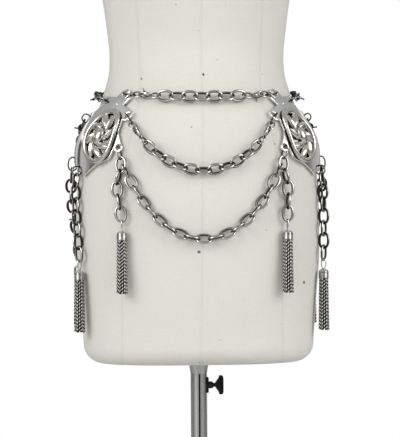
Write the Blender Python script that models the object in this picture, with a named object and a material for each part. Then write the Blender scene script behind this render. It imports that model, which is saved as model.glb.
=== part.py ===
"""A metal chain belt worn on a limbless dress form, which stands on a pole and a round base.

Metres, +Z up, the form's front towards -Y. The origin is on the floor, on the pole's axis.
A place on the torso is given by its height and by its angle round the pole: 0 degrees is
the centre front, 90 the side seam at +X, 180 the centre back and -90 the side seam at -X.
Lift is the distance out from the torso's surface.
"""

import math
from collections import namedtuple

import bmesh
import bpy
from mathutils import Matrix, Vector

COLLECTION = "chain_belt_on_dress_form"
GAP = 0.0003  # between pieces that rest on each other
OVERCUT = 0.010  # a cutter reaches this far past what it cuts

# The torso is a small size of women's form: waist 67 cm round, hips about 95 cm.
Section = namedtuple("Section", "height half_width front back squareness")
SECTIONS = [
    Section(0.6345, 0.1590, 0.1040, 0.1130, 2.4),
    Section(0.6762, 0.1616, 0.1060, 0.1160, 2.3),
    Section(0.7336, 0.1660, 0.1125, 0.1235, 2.2),
    Section(0.7756, 0.1695, 0.1165, 0.1275, 2.2),
    Section(0.8176, 0.1700, 0.1185, 0.1300, 2.2),
    Section(0.8596, 0.1690, 0.1185, 0.1290, 2.2),
    Section(0.9086, 0.1662, 0.1160, 0.1225, 2.2),
    Section(0.9296, 0.1652, 0.1140, 0.1195, 2.2),
    Section(0.9450, 0.1615, 0.1120, 0.1175, 2.2),
    Section(0.9600, 0.1540, 0.1085, 0.1135, 2.2),
    Section(0.9780, 0.1430, 0.1040, 0.1075, 2.15),
    Section(0.9954, 0.1345, 0.0985, 0.1015, 2.1),
    Section(1.0136, 0.1288, 0.0935, 0.0965, 2.1),
    Section(1.0330, 0.1234, 0.0895, 0.0925, 2.05),
    Section(1.0600, 0.1217, 0.0870, 0.0900, 2.0),
    Section(1.0864, 0.1240, 0.0895, 0.0915, 2.0),
    Section(1.1396, 0.1311, 0.1035, 0.0965, 2.1),
    Section(1.1800, 0.1395, 0.1130, 0.1000, 2.2),
    Section(1.2200, 0.1450, 0.1170, 0.1030, 2.2),
    Section(1.2700, 0.1520, 0.1130, 0.1060, 2.3),
    Section(1.3200, 0.1620, 0.1020, 0.1070, 2.4),
    Section(1.3600, 0.1690, 0.0880, 0.1020, 2.4),
    Section(1.3950, 0.1680, 0.0740, 0.0920, 2.3),
    Section(1.4150, 0.1450, 0.0660, 0.0830, 2.2),
    Section(1.4320, 0.1120, 0.0600, 0.0750, 2.1),
    Section(1.4480, 0.0820, 0.0560, 0.0680, 2.0),
    Section(1.4640, 0.0640, 0.0530, 0.0610, 2.0),
    Section(1.4900, 0.0565, 0.0515, 0.0560, 2.0),
    Section(1.5300, 0.0545, 0.0510, 0.0540, 2.0),
]
TORSO_BOTTOM = SECTIONS[0].height
TORSO_TOP = SECTIONS[-1].height
HEM_RADIUS = 0.024  # the rounded lower edge
TORSO_COLUMNS = 30
# Rows are close where the hip and the shoulder turn.
RowBand = namedtuple("RowBand", "top rows")
ROW_BANDS = [
    RowBand(0.920, 7),
    RowBand(1.010, 6),
    RowBand(1.385, 8),
    RowBand(1.465, 5),
    RowBand(TORSO_TOP, 1),
]
HEM_ROWS = 3
SHOULDER_START, ARMHOLE_X = 1.200, 0.158  # above this the sides are cut flat at this half width
BUST_X, BUST_HEIGHT = 0.078, 1.215
BUST_SPREAD_X, BUST_SPREAD_Z, BUST_SWELL = 0.045, 0.050, 0.020
SLOPE_ANGLE, SLOPE_RISE = 1.5, 0.004  # to each side of a place, where its slope is taken

# The stand.
BASE_RADIUS, BASE_RIM, BASE_CROWN = 0.200, 0.012, 0.020
BASE_SHOULDER_RADIUS, BASE_SHOULDER = 0.110, 0.018
HUB_RADIUS, HUB_BORE, HUB_TOP, HUB_FILLET = 0.019, 0.0104, 0.060, 0.004
POLE_RADIUS, POLE_SEAT, POLE_TOP = 0.0100, 0.020, 0.860
SLEEVE_RADIUS, SLEEVE_BORE, SLEEVE_BOTTOM = 0.0115, 0.0104, 0.460
SLOT_WIDTH, SLOT_TOP = 0.0018, 0.617  # a saw cut down the front, so that the clamp can close
FLANGE_RADIUS, FLANGE_TAPER = 0.0145, 0.0177
TORSO_BORE, BORE_TOP = 0.0106, 1.000
KNOB_HEIGHT, KNOB_THREAD = 0.6006, 0.0026
BOSS_RADIUS, BOSS_START, BOSS_END, HOLE_START = 0.0050, 0.0060, 0.0185, 0.0020
SADDLE_HALF_WIDTH, SADDLE_HALF_HEIGHT, SADDLE_END = 0.0046, 0.0110, 0.0137
WING_START, WING_END, WING_HALF_SPAN, WING_THICKNESS = 0.0265, 0.0345, 0.0135, 0.0080
WING_CORNER, WING_OVERLAP = 0.002, 0.002  # its cut corners, and how far the stem goes into it
KNOB_NECK, KNOB_WAIST, KNOB_DISH = 0.0042, 0.0060, 0.0050  # half heights along the knob
TURNED_SIDES, BOSS_SIDES, THREAD_SIDES = 24, 12, 8

# The top of the form and its armholes.
ARM_PLATE_HEIGHT, ARM_PLATE_HALF_WIDTH, ARM_PLATE_HALF_HEIGHT = 1.355, 0.034, 0.044
ARM_PLATE_THICKNESS, ARM_PLATE_TAPER = 0.006, 0.93
NECK_CAP_THICKNESS, NECK_CAP_SIDES = 0.012, 20
CAP_SHOULDER, CAP_EDGE, CAP_EDGE_RISE = 0.86, 0.97, 0.6  # of the neck's radius, and of the cap
FINIAL_RADIUS, FINIAL_SEAT, FINIAL_STEP = 0.016, 0.85, 36

# The hip plates, laid out flat: arc is forward from the side seam, height is above the floor.
PLATE_THICKNESS, PLATE_LIFT = 0.0024, 0.0036
HOLE_RADIUS, HOLE_SIDES = 0.0038, 6
LOBE_RADIUS, LOBE_TURNS = 0.0070, (72, 24, -24, -72)
Arm = namedtuple("Arm", "arc height heading")
ARMS = {
    "top_front": Arm(0.0770, 1.0020, 15),
    "upper_front": Arm(0.1018, 0.9712, -40),
    "lower_front": Arm(0.1105, 0.9299, -82),
    "bottom": Arm(0.0360, 0.9048, -95),
    "lower_back": Arm(0.0000, 0.9190, -115),
    "upper_back": Arm(0.0080, 0.9740, -150),
    "top_back": Arm(0.0475, 0.9938, 168),
}
# Corners of the outline between one arm and the next, clockwise from the top.
NOTCHES = {
    "top_front": [(0.0890, 0.9970), (0.0840, 0.9860)],
    "upper_front": [(0.1030, 0.9515)],
    "lower_front": [(0.0995, 0.9145), (0.0775, 0.9070), (0.0515, 0.8915)],
    "bottom": [(0.0190, 0.9060)],
    "lower_back": [(0.0040, 0.9475)],
    "upper_back": [(0.0290, 0.9800)],
    "top_back": [(0.0545, 0.9995), (0.0640, 0.9985), (0.0710, 1.0060)],
}
PLATE_GRID = 0.036

# The raised ornament: an oval rim, a ring of leaning petals and a boss.
ORNAMENT_ARC, ORNAMENT_HEIGHT, ORNAMENT_TILT = 0.0770, 0.9440, 8
ORNAMENT_HALF_WIDTH, ORNAMENT_HALF_HEIGHT = 0.0265, 0.0360
RIM_RADIUS, RIM_MIDDLE, RIM_STEPS, RIM_SIDES = 0.0027, 0.6, 16, 4
PETALS, PETAL_LEAN, PETAL_REACH = 8, 35, 0.62
PETAL_LENGTH, PETAL_WIDTH, PETAL_RISE = 0.66, 0.18, 0.0042
BOSS_SHARE, BOSS_RISE = 0.30, 0.0065
DOME_FOOT = -0.25  # a dome goes this share of its rise below the plane it starts from

# Chain elements: width across, thickness of wire, reach from centre to the end's inner face.
Element = namedtuple("Element", "width wire reach steps")
LONG_RING = Element(0.0144, 0.0020, 0.0084, 8)
SHORT_RING = Element(0.0144, 0.0020, 0.0053, 8)
SMALL = Element(0.0116, 0.0022, 0.0054, 6)
CLASP = Element(0.0116, 0.0022, 0.0090, 6)
LINK = Element(0.0172, 0.0032, 0.00865, 6)
EYE = Element(0.0082, 0.0014, 0.0064, 4)
SWAG_LIFT, DROP_LIFT, RING_LIFT = 0.0086, 0.0091, 0.0079
LIFT_START, LIFT_RUN = 0.008, 0.014  # along the chain, from the ring's lift to the chain's
PLAY = 0.0004  # between two links that hang in each other
BROAD_STEPS, END_BREADTH = 6, 1.25  # a link of six steps is nearly as broad at its ends
SEAT_SHARE = 0.66  # of the ends' facing sides, where two links bear on each other
SWAG_ROLL, ROLL_STEP = 60, 10  # links lie turned about the chain, each a little more than the last
HOOK_SHIFT = 0.0029  # a clasp's wire sits this far beside the middle of the link it holds

# The middle of a swag hangs below its ends; the back waist chain climbs to the waist.
Swag = namedtuple("Swag", "arm centre middle steepness ends links")
SWAGS = {
    "front_waist_chain": Swag("top_front", 0, 0.9950, 1.6, (LONG_RING, SMALL, CLASP, SMALL), 7),
    "front_upper_swag": Swag("upper_front", 0, 0.8975, 1.6, (LONG_RING, SMALL, CLASP, SMALL), 11),
    "back_waist_chain": Swag("top_back", 180, 1.0120, 2.0, (LONG_RING, SMALL, CLASP, SMALL), 23),
    "back_upper_swag": Swag("upper_back", 180, 0.8680, 1.6, (LONG_RING, SMALL, CLASP, SMALL), 27),
}
Hooked = namedtuple("Hooked", "drop link centre middle steepness ends links")
HOOKED_SWAGS = {
    "front_lower_swag": Hooked("inner_drop", 1, 0, 0.8070, 1.6, (CLASP,), 17),
    "back_lower_swag": Hooked("back_drop", 5, 180, 0.7700, 1.2, (CLASP, SMALL), 23),
}

# Drops: angles at the hole's level and at the tassel, on the +X and on the -X side.
Drop = namedtuple("Drop", "arm ring links roll held pull right_end left_end sway_height foot")
DROPS = {
    "inner_drop": Drop("lower_front", LONG_RING, 5, 20, 1, -2.6, 38.4, 35.7, 0.895, 0.815),
    "outer_drop": Drop("bottom", SHORT_RING, 7, 10, 0, 0.0, 73.0, 67.5, 0.905, 0.765),
    "back_drop": Drop("lower_back", LONG_RING, 8, 0, 5, 0.0, 112.0, 112.0, 0.919, 0.788),
}
PULL_REACH = 0.020  # above and below the link that a swag pulls aside
PATH_PAST_FOOT = 0.020  # a drop's path goes on this far below its last link

CAP_RADIUS, CAP_HEIGHT, CAP_SIDES = 0.0069, 0.0135, 9
CAP_NECK_RADIUS, CAP_NECK = 0.0020, 0.0012
CAP_BROW_RADIUS, CAP_BROW, CAP_ROUND = 0.0051, 0.0026, 0.0060  # depths below the cap's top
STRAND_PITCH, STRAND_RADIUS, STRAND_LENGTH = 0.00262, 0.00115, 0.0720
STRAND_ROOT, STRAND_RINGS = 0.0010, 2
STRAND_SPREAD, STRAND_UNEVEN, UNEVEN_STEP = 1.2, 0.0025, 7.3


def smooth_step(share):
    share = min(max(share, 0.0), 1.0)
    return share * share * (3 - 2 * share)


def section_at(height):
    """The torso's section at any height, on a smooth curve through the rows."""
    height = min(max(height, TORSO_BOTTOM), TORSO_TOP)
    upper = next(i for i in range(1, len(SECTIONS)) if SECTIONS[i].height >= height)
    rows = [SECTIONS[min(max(upper + k, 0), len(SECTIONS) - 1)] for k in (-2, -1, 0, 1)]
    span = rows[2].height - rows[1].height
    t = (height - rows[1].height) / span
    found = []
    for column in range(1, len(Section._fields)):
        before, low, high, after = (row[column] for row in rows)
        slope_low = (high - before) / (rows[2].height - rows[0].height) * span
        slope_high = (after - low) / (rows[3].height - rows[1].height) * span
        value = (2 * t**3 - 3 * t**2 + 1) * low + (t**3 - 2 * t**2 + t) * slope_low
        value += (3 * t**2 - 2 * t**3) * high + (t**3 - t**2) * slope_high
        found.append(value)
    return Section(height, *found)


def torso_point(angle, height):
    section = section_at(height)
    turn = math.radians(angle)
    power = 2 / section.squareness
    sine, cosine = math.sin(turn), math.cos(turn)
    depth = section.front if cosine > 0 else section.back
    x = section.half_width * math.copysign(abs(sine) ** power, sine)
    y = -depth * math.copysign(abs(cosine) ** power, cosine)
    if cosine > 0:
        aside = (abs(x) - BUST_X) / BUST_SPREAD_X
        above = (height - BUST_HEIGHT) / BUST_SPREAD_Z
        y -= BUST_SWELL * math.exp(-aside * aside - above * above) * min(1, 4 * cosine)
    if height > SHOULDER_START:
        x = min(max(x, -ARMHOLE_X), ARMHOLE_X)
    return Vector((x, y, height))


def torso_normal(angle, height):
    along = torso_point(angle + SLOPE_ANGLE, height) - torso_point(angle - SLOPE_ANGLE, height)
    up = torso_point(angle, height + SLOPE_RISE) - torso_point(angle, height - SLOPE_RISE)
    return along.cross(up).normalized()


def on_torso(angle, height, lift):
    return torso_point(angle, height) + torso_normal(angle, height) * lift


def angle_after(height, start, arc):
    """The angle reached by walking this arc round the torso, from the start angle."""
    step = math.copysign(1.0, arc)
    angle, left = start, abs(arc)
    here = torso_point(angle, height)
    while left > 0:
        ahead = torso_point(angle + step, height)
        length = (ahead - here).length
        if length >= left:
            return angle + step * left / length
        left -= length
        angle += step
        here = ahead
    return angle


def arc_between(height, start, end):
    count = max(2, round(abs(end - start)))
    points = [torso_point(start + (end - start) * i / count, height) for i in range(count + 1)]
    return sum((b - a).length for a, b in zip(points, points[1:]))


def material(name, colour, roughness, metallic):
    made = bpy.data.materials.new(name)
    made.use_nodes = True
    shader = made.node_tree.nodes["Principled BSDF"]
    shader.inputs["Base Color"].default_value = (*colour, 1)
    shader.inputs["Roughness"].default_value = roughness
    shader.inputs["Metallic"].default_value = metallic
    return made


def add_object(name, mesh, finish):
    thing = bpy.data.objects.new(name, mesh)
    bpy.data.collections[COLLECTION].objects.link(thing)
    mesh.materials.clear()
    mesh.materials.append(finish)
    return thing


def object_from(name, bm, finish, smooth=True):
    bmesh.ops.recalc_face_normals(bm, faces=bm.faces)
    if bm.calc_volume(signed=True) < 0:
        bmesh.ops.reverse_faces(bm, faces=bm.faces)
    mesh = bpy.data.meshes.new(name)
    bm.to_mesh(mesh)
    bm.free()
    if smooth:
        mesh.shade_smooth()
        mesh.set_sharp_from_angle(angle=math.radians(50))
    return add_object(name, mesh, finish)


def boolean(thing, operation, other):
    """Adds a Boolean modifier, and puts the other object among the cutters."""
    change = thing.modifiers.new(operation.lower(), "BOOLEAN")
    change.operation = operation
    change.object = other
    change.solver = "EXACT"
    other.hide_render = True
    other.display_type = "WIRE"
    for home in list(other.users_collection):
        home.objects.unlink(other)
    bpy.data.collections["cutters"].objects.link(other)


def turned(name, profile, finish, sides=TURNED_SIDES):
    """A solid turned about Z, from a closed profile of radius and height, outer side first."""
    bm = bmesh.new()
    points = [bm.verts.new((radius, 0, height)) for radius, height in profile]
    edges = [bm.edges.new((a, b)) for a, b in zip(points, points[1:])]
    if profile[0][0] > 0 and profile[-1][0] > 0:
        edges.append(bm.edges.new((points[-1], points[0])))
    bmesh.ops.spin(
        bm, geom=points + edges, axis=(0, 0, 1), cent=(0, 0, 0),
        angle=math.tau, steps=sides, use_merge=True,
    )
    bmesh.ops.remove_doubles(bm, verts=bm.verts, dist=1e-6)
    return object_from(name, bm, finish)


def torso_rows():
    """Height and inset of every ring of the torso, from the hem up."""
    rows = []
    for i in range(HEM_ROWS):
        turn = math.pi / 2 * i / HEM_ROWS
        rise = HEM_RADIUS * (1 - math.cos(turn))
        rows.append((TORSO_BOTTOM + rise, HEM_RADIUS * (1 - math.sin(turn))))
    low = TORSO_BOTTOM + HEM_RADIUS
    rows.append((low, 0.0))
    for band in ROW_BANDS:
        rows += [(low + (band.top - low) * (i + 1) / band.rows, 0.0) for i in range(band.rows)]
        low = band.top
    return rows


def make_torso(finish, bore_finish):
    bm = bmesh.new()
    rings = []
    for height, inset in torso_rows():
        ring = []
        for column in range(TORSO_COLUMNS):
            point = torso_point(360 * column / TORSO_COLUMNS, height)
            flat = Vector((point.x, point.y, 0))
            ring.append(bm.verts.new(point - flat.normalized() * inset))
        rings.append(ring)
    for low, high in zip(rings, rings[1:]):
        for i in range(TORSO_COLUMNS):
            j = (i + 1) % TORSO_COLUMNS
            bm.faces.new((low[i], low[j], high[j], high[i]))
    bm.faces.new(rings[0][::-1])
    bm.faces.new(rings[-1])
    torso = object_from("torso", bm, finish)
    bore = bmesh.new()
    depth = BORE_TOP - TORSO_BOTTOM + OVERCUT
    bmesh.ops.create_cone(
        bore, cap_ends=True, segments=TURNED_SIDES, radius1=TORSO_BORE, radius2=TORSO_BORE,
        depth=depth, matrix=Matrix.Translation((0, 0, BORE_TOP - depth / 2)),
    )
    boolean(torso, "DIFFERENCE", object_from("bore_cutter", bore, bore_finish))
    return torso


def make_stand(steel, black, cast):
    """The base, the pole, the clamp collar under the torso and its knob."""
    turned("base", [
        (0, POLE_SEAT), (HUB_BORE, POLE_SEAT), (HUB_BORE, HUB_TOP),
        (HUB_RADIUS, HUB_TOP), (HUB_RADIUS + HUB_FILLET, BASE_CROWN + HUB_FILLET),
        (BASE_SHOULDER_RADIUS, BASE_SHOULDER), (BASE_RADIUS, BASE_RIM),
        (BASE_RADIUS, 0), (0, 0),
    ], cast)
    foot = POLE_SEAT + GAP
    turned("pole", [
        (0, POLE_TOP), (POLE_RADIUS, POLE_TOP), (POLE_RADIUS, foot), (0, foot),
    ], steel)
    top = TORSO_BOTTOM - GAP
    collar = turned("collar", [
        (0, top), (FLANGE_RADIUS, top), (SLEEVE_RADIUS, top - FLANGE_TAPER),
        (SLEEVE_RADIUS, SLEEVE_BOTTOM), (0, SLEEVE_BOTTOM),
    ], steel)
    boss = turned("collar_boss", [
        (0, BOSS_END), (BOSS_RADIUS, BOSS_END), (BOSS_RADIUS, BOSS_START), (0, BOSS_START),
    ], black, sides=BOSS_SIDES)
    across = Matrix.Translation((0, 0, KNOB_HEIGHT)) @ Matrix.Rotation(math.pi / 2, 4, "Y")
    boss.data.transform(across)
    block = bmesh.new()
    size = (SADDLE_END - BOSS_START, 2 * SADDLE_HALF_WIDTH, 2 * SADDLE_HALF_HEIGHT)
    bmesh.ops.create_cube(block, size=1, matrix=Matrix.Diagonal((*size, 1)))
    middle = ((SADDLE_END + BOSS_START) / 2, 0, KNOB_HEIGHT)
    bmesh.ops.translate(block, verts=block.verts, vec=middle)
    boolean(collar, "UNION", object_from("collar_saddle", block, black, smooth=False))
    boolean(collar, "UNION", boss)
    bore = turned("sleeve_cutter", [
        (0, top + OVERCUT), (SLEEVE_BORE, top + OVERCUT),
        (SLEEVE_BORE, SLEEVE_BOTTOM - OVERCUT), (0, SLEEVE_BOTTOM - OVERCUT),
    ], steel)
    boolean(collar, "DIFFERENCE", bore)
    saw = bmesh.new()
    low = SLEEVE_BOTTOM - OVERCUT
    size = (SLOT_WIDTH, FLANGE_RADIUS, SLOT_TOP - low)
    bmesh.ops.create_cube(saw, size=1, matrix=Matrix.Diagonal((*size, 1)))
    middle = (0, -SLEEVE_BORE / 2 - FLANGE_RADIUS / 2, (SLOT_TOP + low) / 2)
    bmesh.ops.translate(saw, verts=saw.verts, vec=middle)
    boolean(collar, "DIFFERENCE", object_from("slot_cutter", saw, steel, smooth=False))
    hole = KNOB_THREAD + GAP
    thread = turned("thread_cutter", [
        (0, BOSS_END + OVERCUT), (hole, BOSS_END + OVERCUT), (hole, HOLE_START), (0, HOLE_START),
    ], black, sides=THREAD_SIDES)
    thread.data.transform(across)
    boolean(collar, "DIFFERENCE", thread)
    make_knob(black)


def make_knob(finish):
    """A threaded stem with a fan of two wings, on its own axis along X."""
    tip, end = POLE_RADIUS + 2 * GAP, WING_START + WING_OVERLAP
    knob = turned("clamp_knob", [
        (0, end), (KNOB_THREAD, end), (KNOB_THREAD, tip), (0, tip),
    ], finish, sides=THREAD_SIDES)
    across = Matrix.Translation((0, 0, KNOB_HEIGHT)) @ Matrix.Rotation(math.pi / 2, 4, "Y")
    knob.data.transform(across)
    outline = [
        (BOSS_END + GAP, KNOB_NECK), (WING_START, KNOB_WAIST),
        (WING_START + WING_CORNER / 2, WING_HALF_SPAN - WING_CORNER),
        (WING_START + 1.5 * WING_CORNER, WING_HALF_SPAN), (WING_END, WING_HALF_SPAN - WING_CORNER),
        (WING_END - WING_CORNER, KNOB_DISH),
    ]
    loop = outline + [(x, -z) for x, z in reversed(outline)]
    wings = bmesh.new()
    half = WING_THICKNESS / 2
    face = wings.faces.new([wings.verts.new((x, -half, KNOB_HEIGHT + z)) for x, z in loop])
    far = bmesh.ops.extrude_face_region(wings, geom=[face], use_keep_orig=True)
    moved = [g for g in far["geom"] if isinstance(g, bmesh.types.BMVert)]
    bmesh.ops.translate(wings, verts=moved, vec=(0, WING_THICKNESS, 0))
    boolean(knob, "UNION", object_from("knob_wings", wings, finish, smooth=False))


def make_top(finish, wood):
    """The cover over each armhole, and the cap with its finial on the neck."""
    for side, name in ((1, "arm_plate_right"), (-1, "arm_plate_left")):
        bm = bmesh.new()
        bmesh.ops.create_cone(
            bm, cap_ends=True, segments=TURNED_SIDES, radius1=1, radius2=ARM_PLATE_TAPER, depth=1,
            matrix=Matrix.Rotation(side * math.pi / 2, 4, "Y"),
        )
        size = (ARM_PLATE_THICKNESS, ARM_PLATE_HALF_WIDTH, ARM_PLATE_HALF_HEIGHT)
        bmesh.ops.scale(bm, verts=bm.verts, vec=size)
        out = side * (ARMHOLE_X + GAP + ARM_PLATE_THICKNESS / 2)
        bmesh.ops.translate(bm, verts=bm.verts, vec=(out, 0, ARM_PLATE_HEIGHT))
        object_from(name, bm, finish)
    low = TORSO_TOP + GAP
    neck = SECTIONS[-1].front
    ball = low + NECK_CAP_THICKNESS + FINIAL_RADIUS * FINIAL_SEAT
    profile = [(0, ball + FINIAL_RADIUS)]
    for degrees in range(FINIAL_STEP, 180, FINIAL_STEP):
        turn = math.radians(degrees)
        profile.append((FINIAL_RADIUS * math.sin(turn), ball + FINIAL_RADIUS * math.cos(turn)))
    profile += [
        (neck * CAP_SHOULDER, low + NECK_CAP_THICKNESS),
        (neck * CAP_EDGE, low + NECK_CAP_THICKNESS * CAP_EDGE_RISE), (neck * CAP_EDGE, low), (0, low),
    ]
    turned("neck_cap", profile, wood, sides=NECK_CAP_SIDES)


def plate_outline():
    """The plate's edge, laid out flat: an arc round each arm's hole and the corners between."""
    outline = []
    for name, arm in ARMS.items():
        for turn in LOBE_TURNS:
            heading = math.radians(arm.heading + turn)
            arc = arm.arc + LOBE_RADIUS * math.cos(heading)
            outline.append((arc, arm.height + LOBE_RADIUS * math.sin(heading)))
        outline += NOTCHES[name]
    return outline


def lay_on_torso(bm, side):
    """Bends a flat piece of arc, height and lift onto one side of the torso."""
    for vert in bm.verts:
        arc, height, lift = vert.co
        angle = angle_after(height, 90, -arc)
        vert.co = on_torso(side * angle, height, lift)


def add_loop(bm, points, lift):
    verts = [bm.verts.new((arc, height, lift)) for arc, height in points]
    return [bm.edges.new((a, b)) for a, b in zip(verts, verts[1:] + verts[:1])]


def cut_grid(bm, step):
    """Cuts a flat piece along a grid, so that it can bend."""
    for axis in (0, 1):
        low = min(v.co[axis] for v in bm.verts)
        high = max(v.co[axis] for v in bm.verts)
        for i in range(1, round((high - low) / step)):
            place, normal = Vector(), Vector()
            place[axis] = low + i * step
            normal[axis] = 1
            geometry = bm.verts[:] + bm.edges[:] + bm.faces[:]
            bmesh.ops.bisect_plane(bm, geom=geometry, dist=1e-4, plane_co=place, plane_no=normal)


def make_plate(name, side, finish):
    bm = bmesh.new()
    edges = add_loop(bm, plate_outline(), PLATE_LIFT)
    for arm in ARMS.values():
        ring = []
        for i in range(HOLE_SIDES):
            turn = math.radians(arm.heading) + math.tau * i / HOLE_SIDES
            arc = arm.arc + HOLE_RADIUS * math.cos(turn)
            ring.append((arc, arm.height + HOLE_RADIUS * math.sin(turn)))
        edges += add_loop(bm, ring, PLATE_LIFT)
    bmesh.ops.triangle_fill(bm, edges=edges, use_beauty=True)
    cut_grid(bm, PLATE_GRID)
    bmesh.ops.triangulate(bm, faces=bm.faces)
    upper = bmesh.ops.extrude_face_region(bm, geom=bm.faces[:], use_keep_orig=True)
    raised = [g for g in upper["geom"] if isinstance(g, bmesh.types.BMVert)]
    bmesh.ops.translate(bm, verts=raised, vec=(0, 0, PLATE_THICKNESS))
    lay_on_torso(bm, side)
    bmesh.ops.triangulate(bm, faces=bm.faces)
    return object_from(name, bm, finish)


def oval_dome(bm, centre, turn, half_length, half_width, rise, columns, rows):
    """A low dome on an oval foot."""
    scale = Matrix.Diagonal((half_length, half_width, rise, 1))
    place = Matrix.Translation(centre) @ Matrix.Rotation(turn, 4, "Z") @ scale
    made = bmesh.ops.create_uvsphere(bm, u_segments=columns, v_segments=rows, radius=1)
    for vert in made["verts"]:
        vert.co.z = max(vert.co.z, DOME_FOOT)
        vert.co = place @ vert.co


def evaluated_mesh(thing):
    bpy.context.view_layer.update()
    seen = thing.evaluated_get(bpy.context.evaluated_depsgraph_get())
    return bpy.data.meshes.new_from_object(seen)


def make_ornament(name, side, finish):
    """The ornament is fused flat, then bent onto the plate."""
    rim = bmesh.new()
    corners = []
    for i in range(RIM_SIDES):
        turn = math.tau * (i + 0.5) / RIM_SIDES
        across = ORNAMENT_HALF_WIDTH - RIM_RADIUS + RIM_RADIUS * math.cos(turn)
        corners.append(rim.verts.new((across, 0, RIM_RADIUS * (RIM_MIDDLE + math.sin(turn)))))
    edges = [rim.edges.new((a, b)) for a, b in zip(corners, corners[1:] + corners[:1])]
    bmesh.ops.spin(
        rim, geom=corners + edges, axis=(0, 0, 1), cent=(0, 0, 0),
        angle=math.tau, steps=RIM_STEPS, use_merge=True,
    )
    taller = ORNAMENT_HALF_HEIGHT / ORNAMENT_HALF_WIDTH
    bmesh.ops.scale(rim, verts=rim.verts, vec=(1, taller, 1))
    ornament = object_from(name, rim, finish)
    petals = []
    for i in range(PETALS):
        petal = bmesh.new()
        turn = math.tau * i / PETALS
        reach = PETAL_REACH * (ORNAMENT_HALF_WIDTH - RIM_RADIUS)
        centre = Vector((reach * math.cos(turn), reach * taller * math.sin(turn), 0))
        aim = math.atan2(taller * math.sin(turn), math.cos(turn)) + math.radians(PETAL_LEAN)
        length, width = PETAL_LENGTH * centre.length, PETAL_WIDTH * ORNAMENT_HALF_WIDTH
        oval_dome(petal, centre, aim, length, width, PETAL_RISE, columns=6, rows=4)
        petals.append(object_from(f"{name}_petal_{i}", petal, finish))
    boss = bmesh.new()
    width = BOSS_SHARE * ORNAMENT_HALF_WIDTH
    oval_dome(boss, Vector(), math.pi / 2, width * taller, width, BOSS_RISE, columns=8, rows=6)
    petals.append(object_from(f"{name}_boss", boss, finish))
    for petal in petals:
        boolean(ornament, "UNION", petal)
    flat = bmesh.new()
    flat.from_mesh(evaluated_mesh(ornament))
    foot = PLATE_LIFT + PLATE_THICKNESS + GAP
    low = min(v.co.z for v in flat.verts)
    lean = Matrix.Rotation(math.radians(ORNAMENT_TILT), 4, "Z")
    place = Matrix.Translation((ORNAMENT_ARC, ORNAMENT_HEIGHT, foot - low)) @ lean
    bmesh.ops.transform(flat, matrix=place, verts=flat.verts)
    bmesh.ops.triangulate(flat, faces=flat.faces)
    lay_on_torso(flat, side)
    for petal in petals + [ornament]:
        bpy.data.objects.remove(petal)
    return object_from(name, flat, finish)


class ChainPath:
    """A smooth run along the torso, as dense points that carry the surface's normal."""

    def __init__(self, places, full_lift, ring_start=True, ring_end=True):
        self.points, self.normals, self.at = [], [], [0.0]
        rough = [torso_point(angle, height) for angle, height in places]
        lengths = [0.0]
        for a, b in zip(rough, rough[1:]):
            lengths.append(lengths[-1] + (b - a).length)
        for (angle, height), along in zip(places, lengths):
            from_ring = [along] * ring_start + [lengths[-1] - along] * ring_end
            share = smooth_step((min(from_ring, default=math.inf) - LIFT_START) / LIFT_RUN)
            lift = RING_LIFT + (full_lift - RING_LIFT) * share
            self.points.append(on_torso(angle, height, lift))
            self.normals.append(torso_normal(angle, height))
        for a, b in zip(self.points, self.points[1:]):
            self.at.append(self.at[-1] + (b - a).length)

    @property
    def length(self):
        return self.at[-1]

    def point(self, distance):
        distance = min(max(distance, 0.0), self.length)
        i = next(k for k in range(1, len(self.at)) if self.at[k] >= distance)
        share = (distance - self.at[i - 1]) / (self.at[i] - self.at[i - 1])
        normal = self.normals[i - 1].lerp(self.normals[i], share).normalized()
        return self.points[i - 1].lerp(self.points[i], share), normal

    def frame(self, distance, half, turn):
        """Where a link lies: X along the chain, Z out of the link's plane."""
        centre, normal = self.point(distance)
        along = self.point(distance + half)[0] - self.point(distance - half)[0]
        along.normalize()
        normal = (normal - along * normal.dot(along)).normalized()
        across = normal.cross(along)
        rolled = Matrix.Rotation(turn, 3, along)
        frame = Matrix((along, rolled @ across, rolled @ normal)).transposed().to_4x4()
        frame.translation = centre
        return frame


def swag_places(end_angle, end_height, centre, middle, steepness, samples=120):
    """A hanging curve along the torso, from one side to its mirror place on the other."""
    reach = arc_between(end_height, centre, end_angle)
    if end_angle < centre:
        reach = -reach
    places = []
    for i in range(samples + 1):
        t = 1 - 2 * i / samples
        rise = (math.cosh(steepness * t) - 1) / (math.cosh(steepness) - 1)
        height = middle + (end_height - middle) * rise
        places.append((angle_after(height, centre, reach * t), height))
    return places


def add_element(bm, element, frame):
    """A link of square wire, and the two faces inside its ends."""
    radius, half = (element.width - element.wire) / 2, element.wire / 2
    start = -math.pi / element.steps
    corners = []
    for out, up in ((-half, -half), (half, -half), (half, half), (-half, half)):
        reach = radius + out
        corners.append(bm.verts.new((reach * math.cos(start), reach * math.sin(start), up)))
    edges = [bm.edges.new((a, b)) for a, b in zip(corners, corners[1:] + corners[:1])]
    before = set(bm.verts) - set(corners)
    bmesh.ops.spin(
        bm, geom=corners + edges, axis=(0, 0, 1), cent=(0, 0, 0),
        angle=math.tau, steps=element.steps, use_merge=True,
    )
    verts = [v for v in bm.verts if v not in before]
    inner = (radius - half) * math.cos(start)
    stretch = element.reach - inner
    for vert in verts:
        if abs(vert.co.x) > 1e-5:
            vert.co.x += math.copysign(stretch, vert.co.x)
            if element.steps == BROAD_STEPS:
                vert.co.y *= END_BREADTH
    faces = {f for v in verts for f in v.link_faces}
    ends = []
    for side in (-1, 1):
        spot = Vector((side * element.reach, 0, 0))
        ends.append(min(faces, key=lambda f: (f.calc_center_median() - spot).length))
    bmesh.ops.transform(bm, matrix=frame, verts=verts)
    return ends


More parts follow.
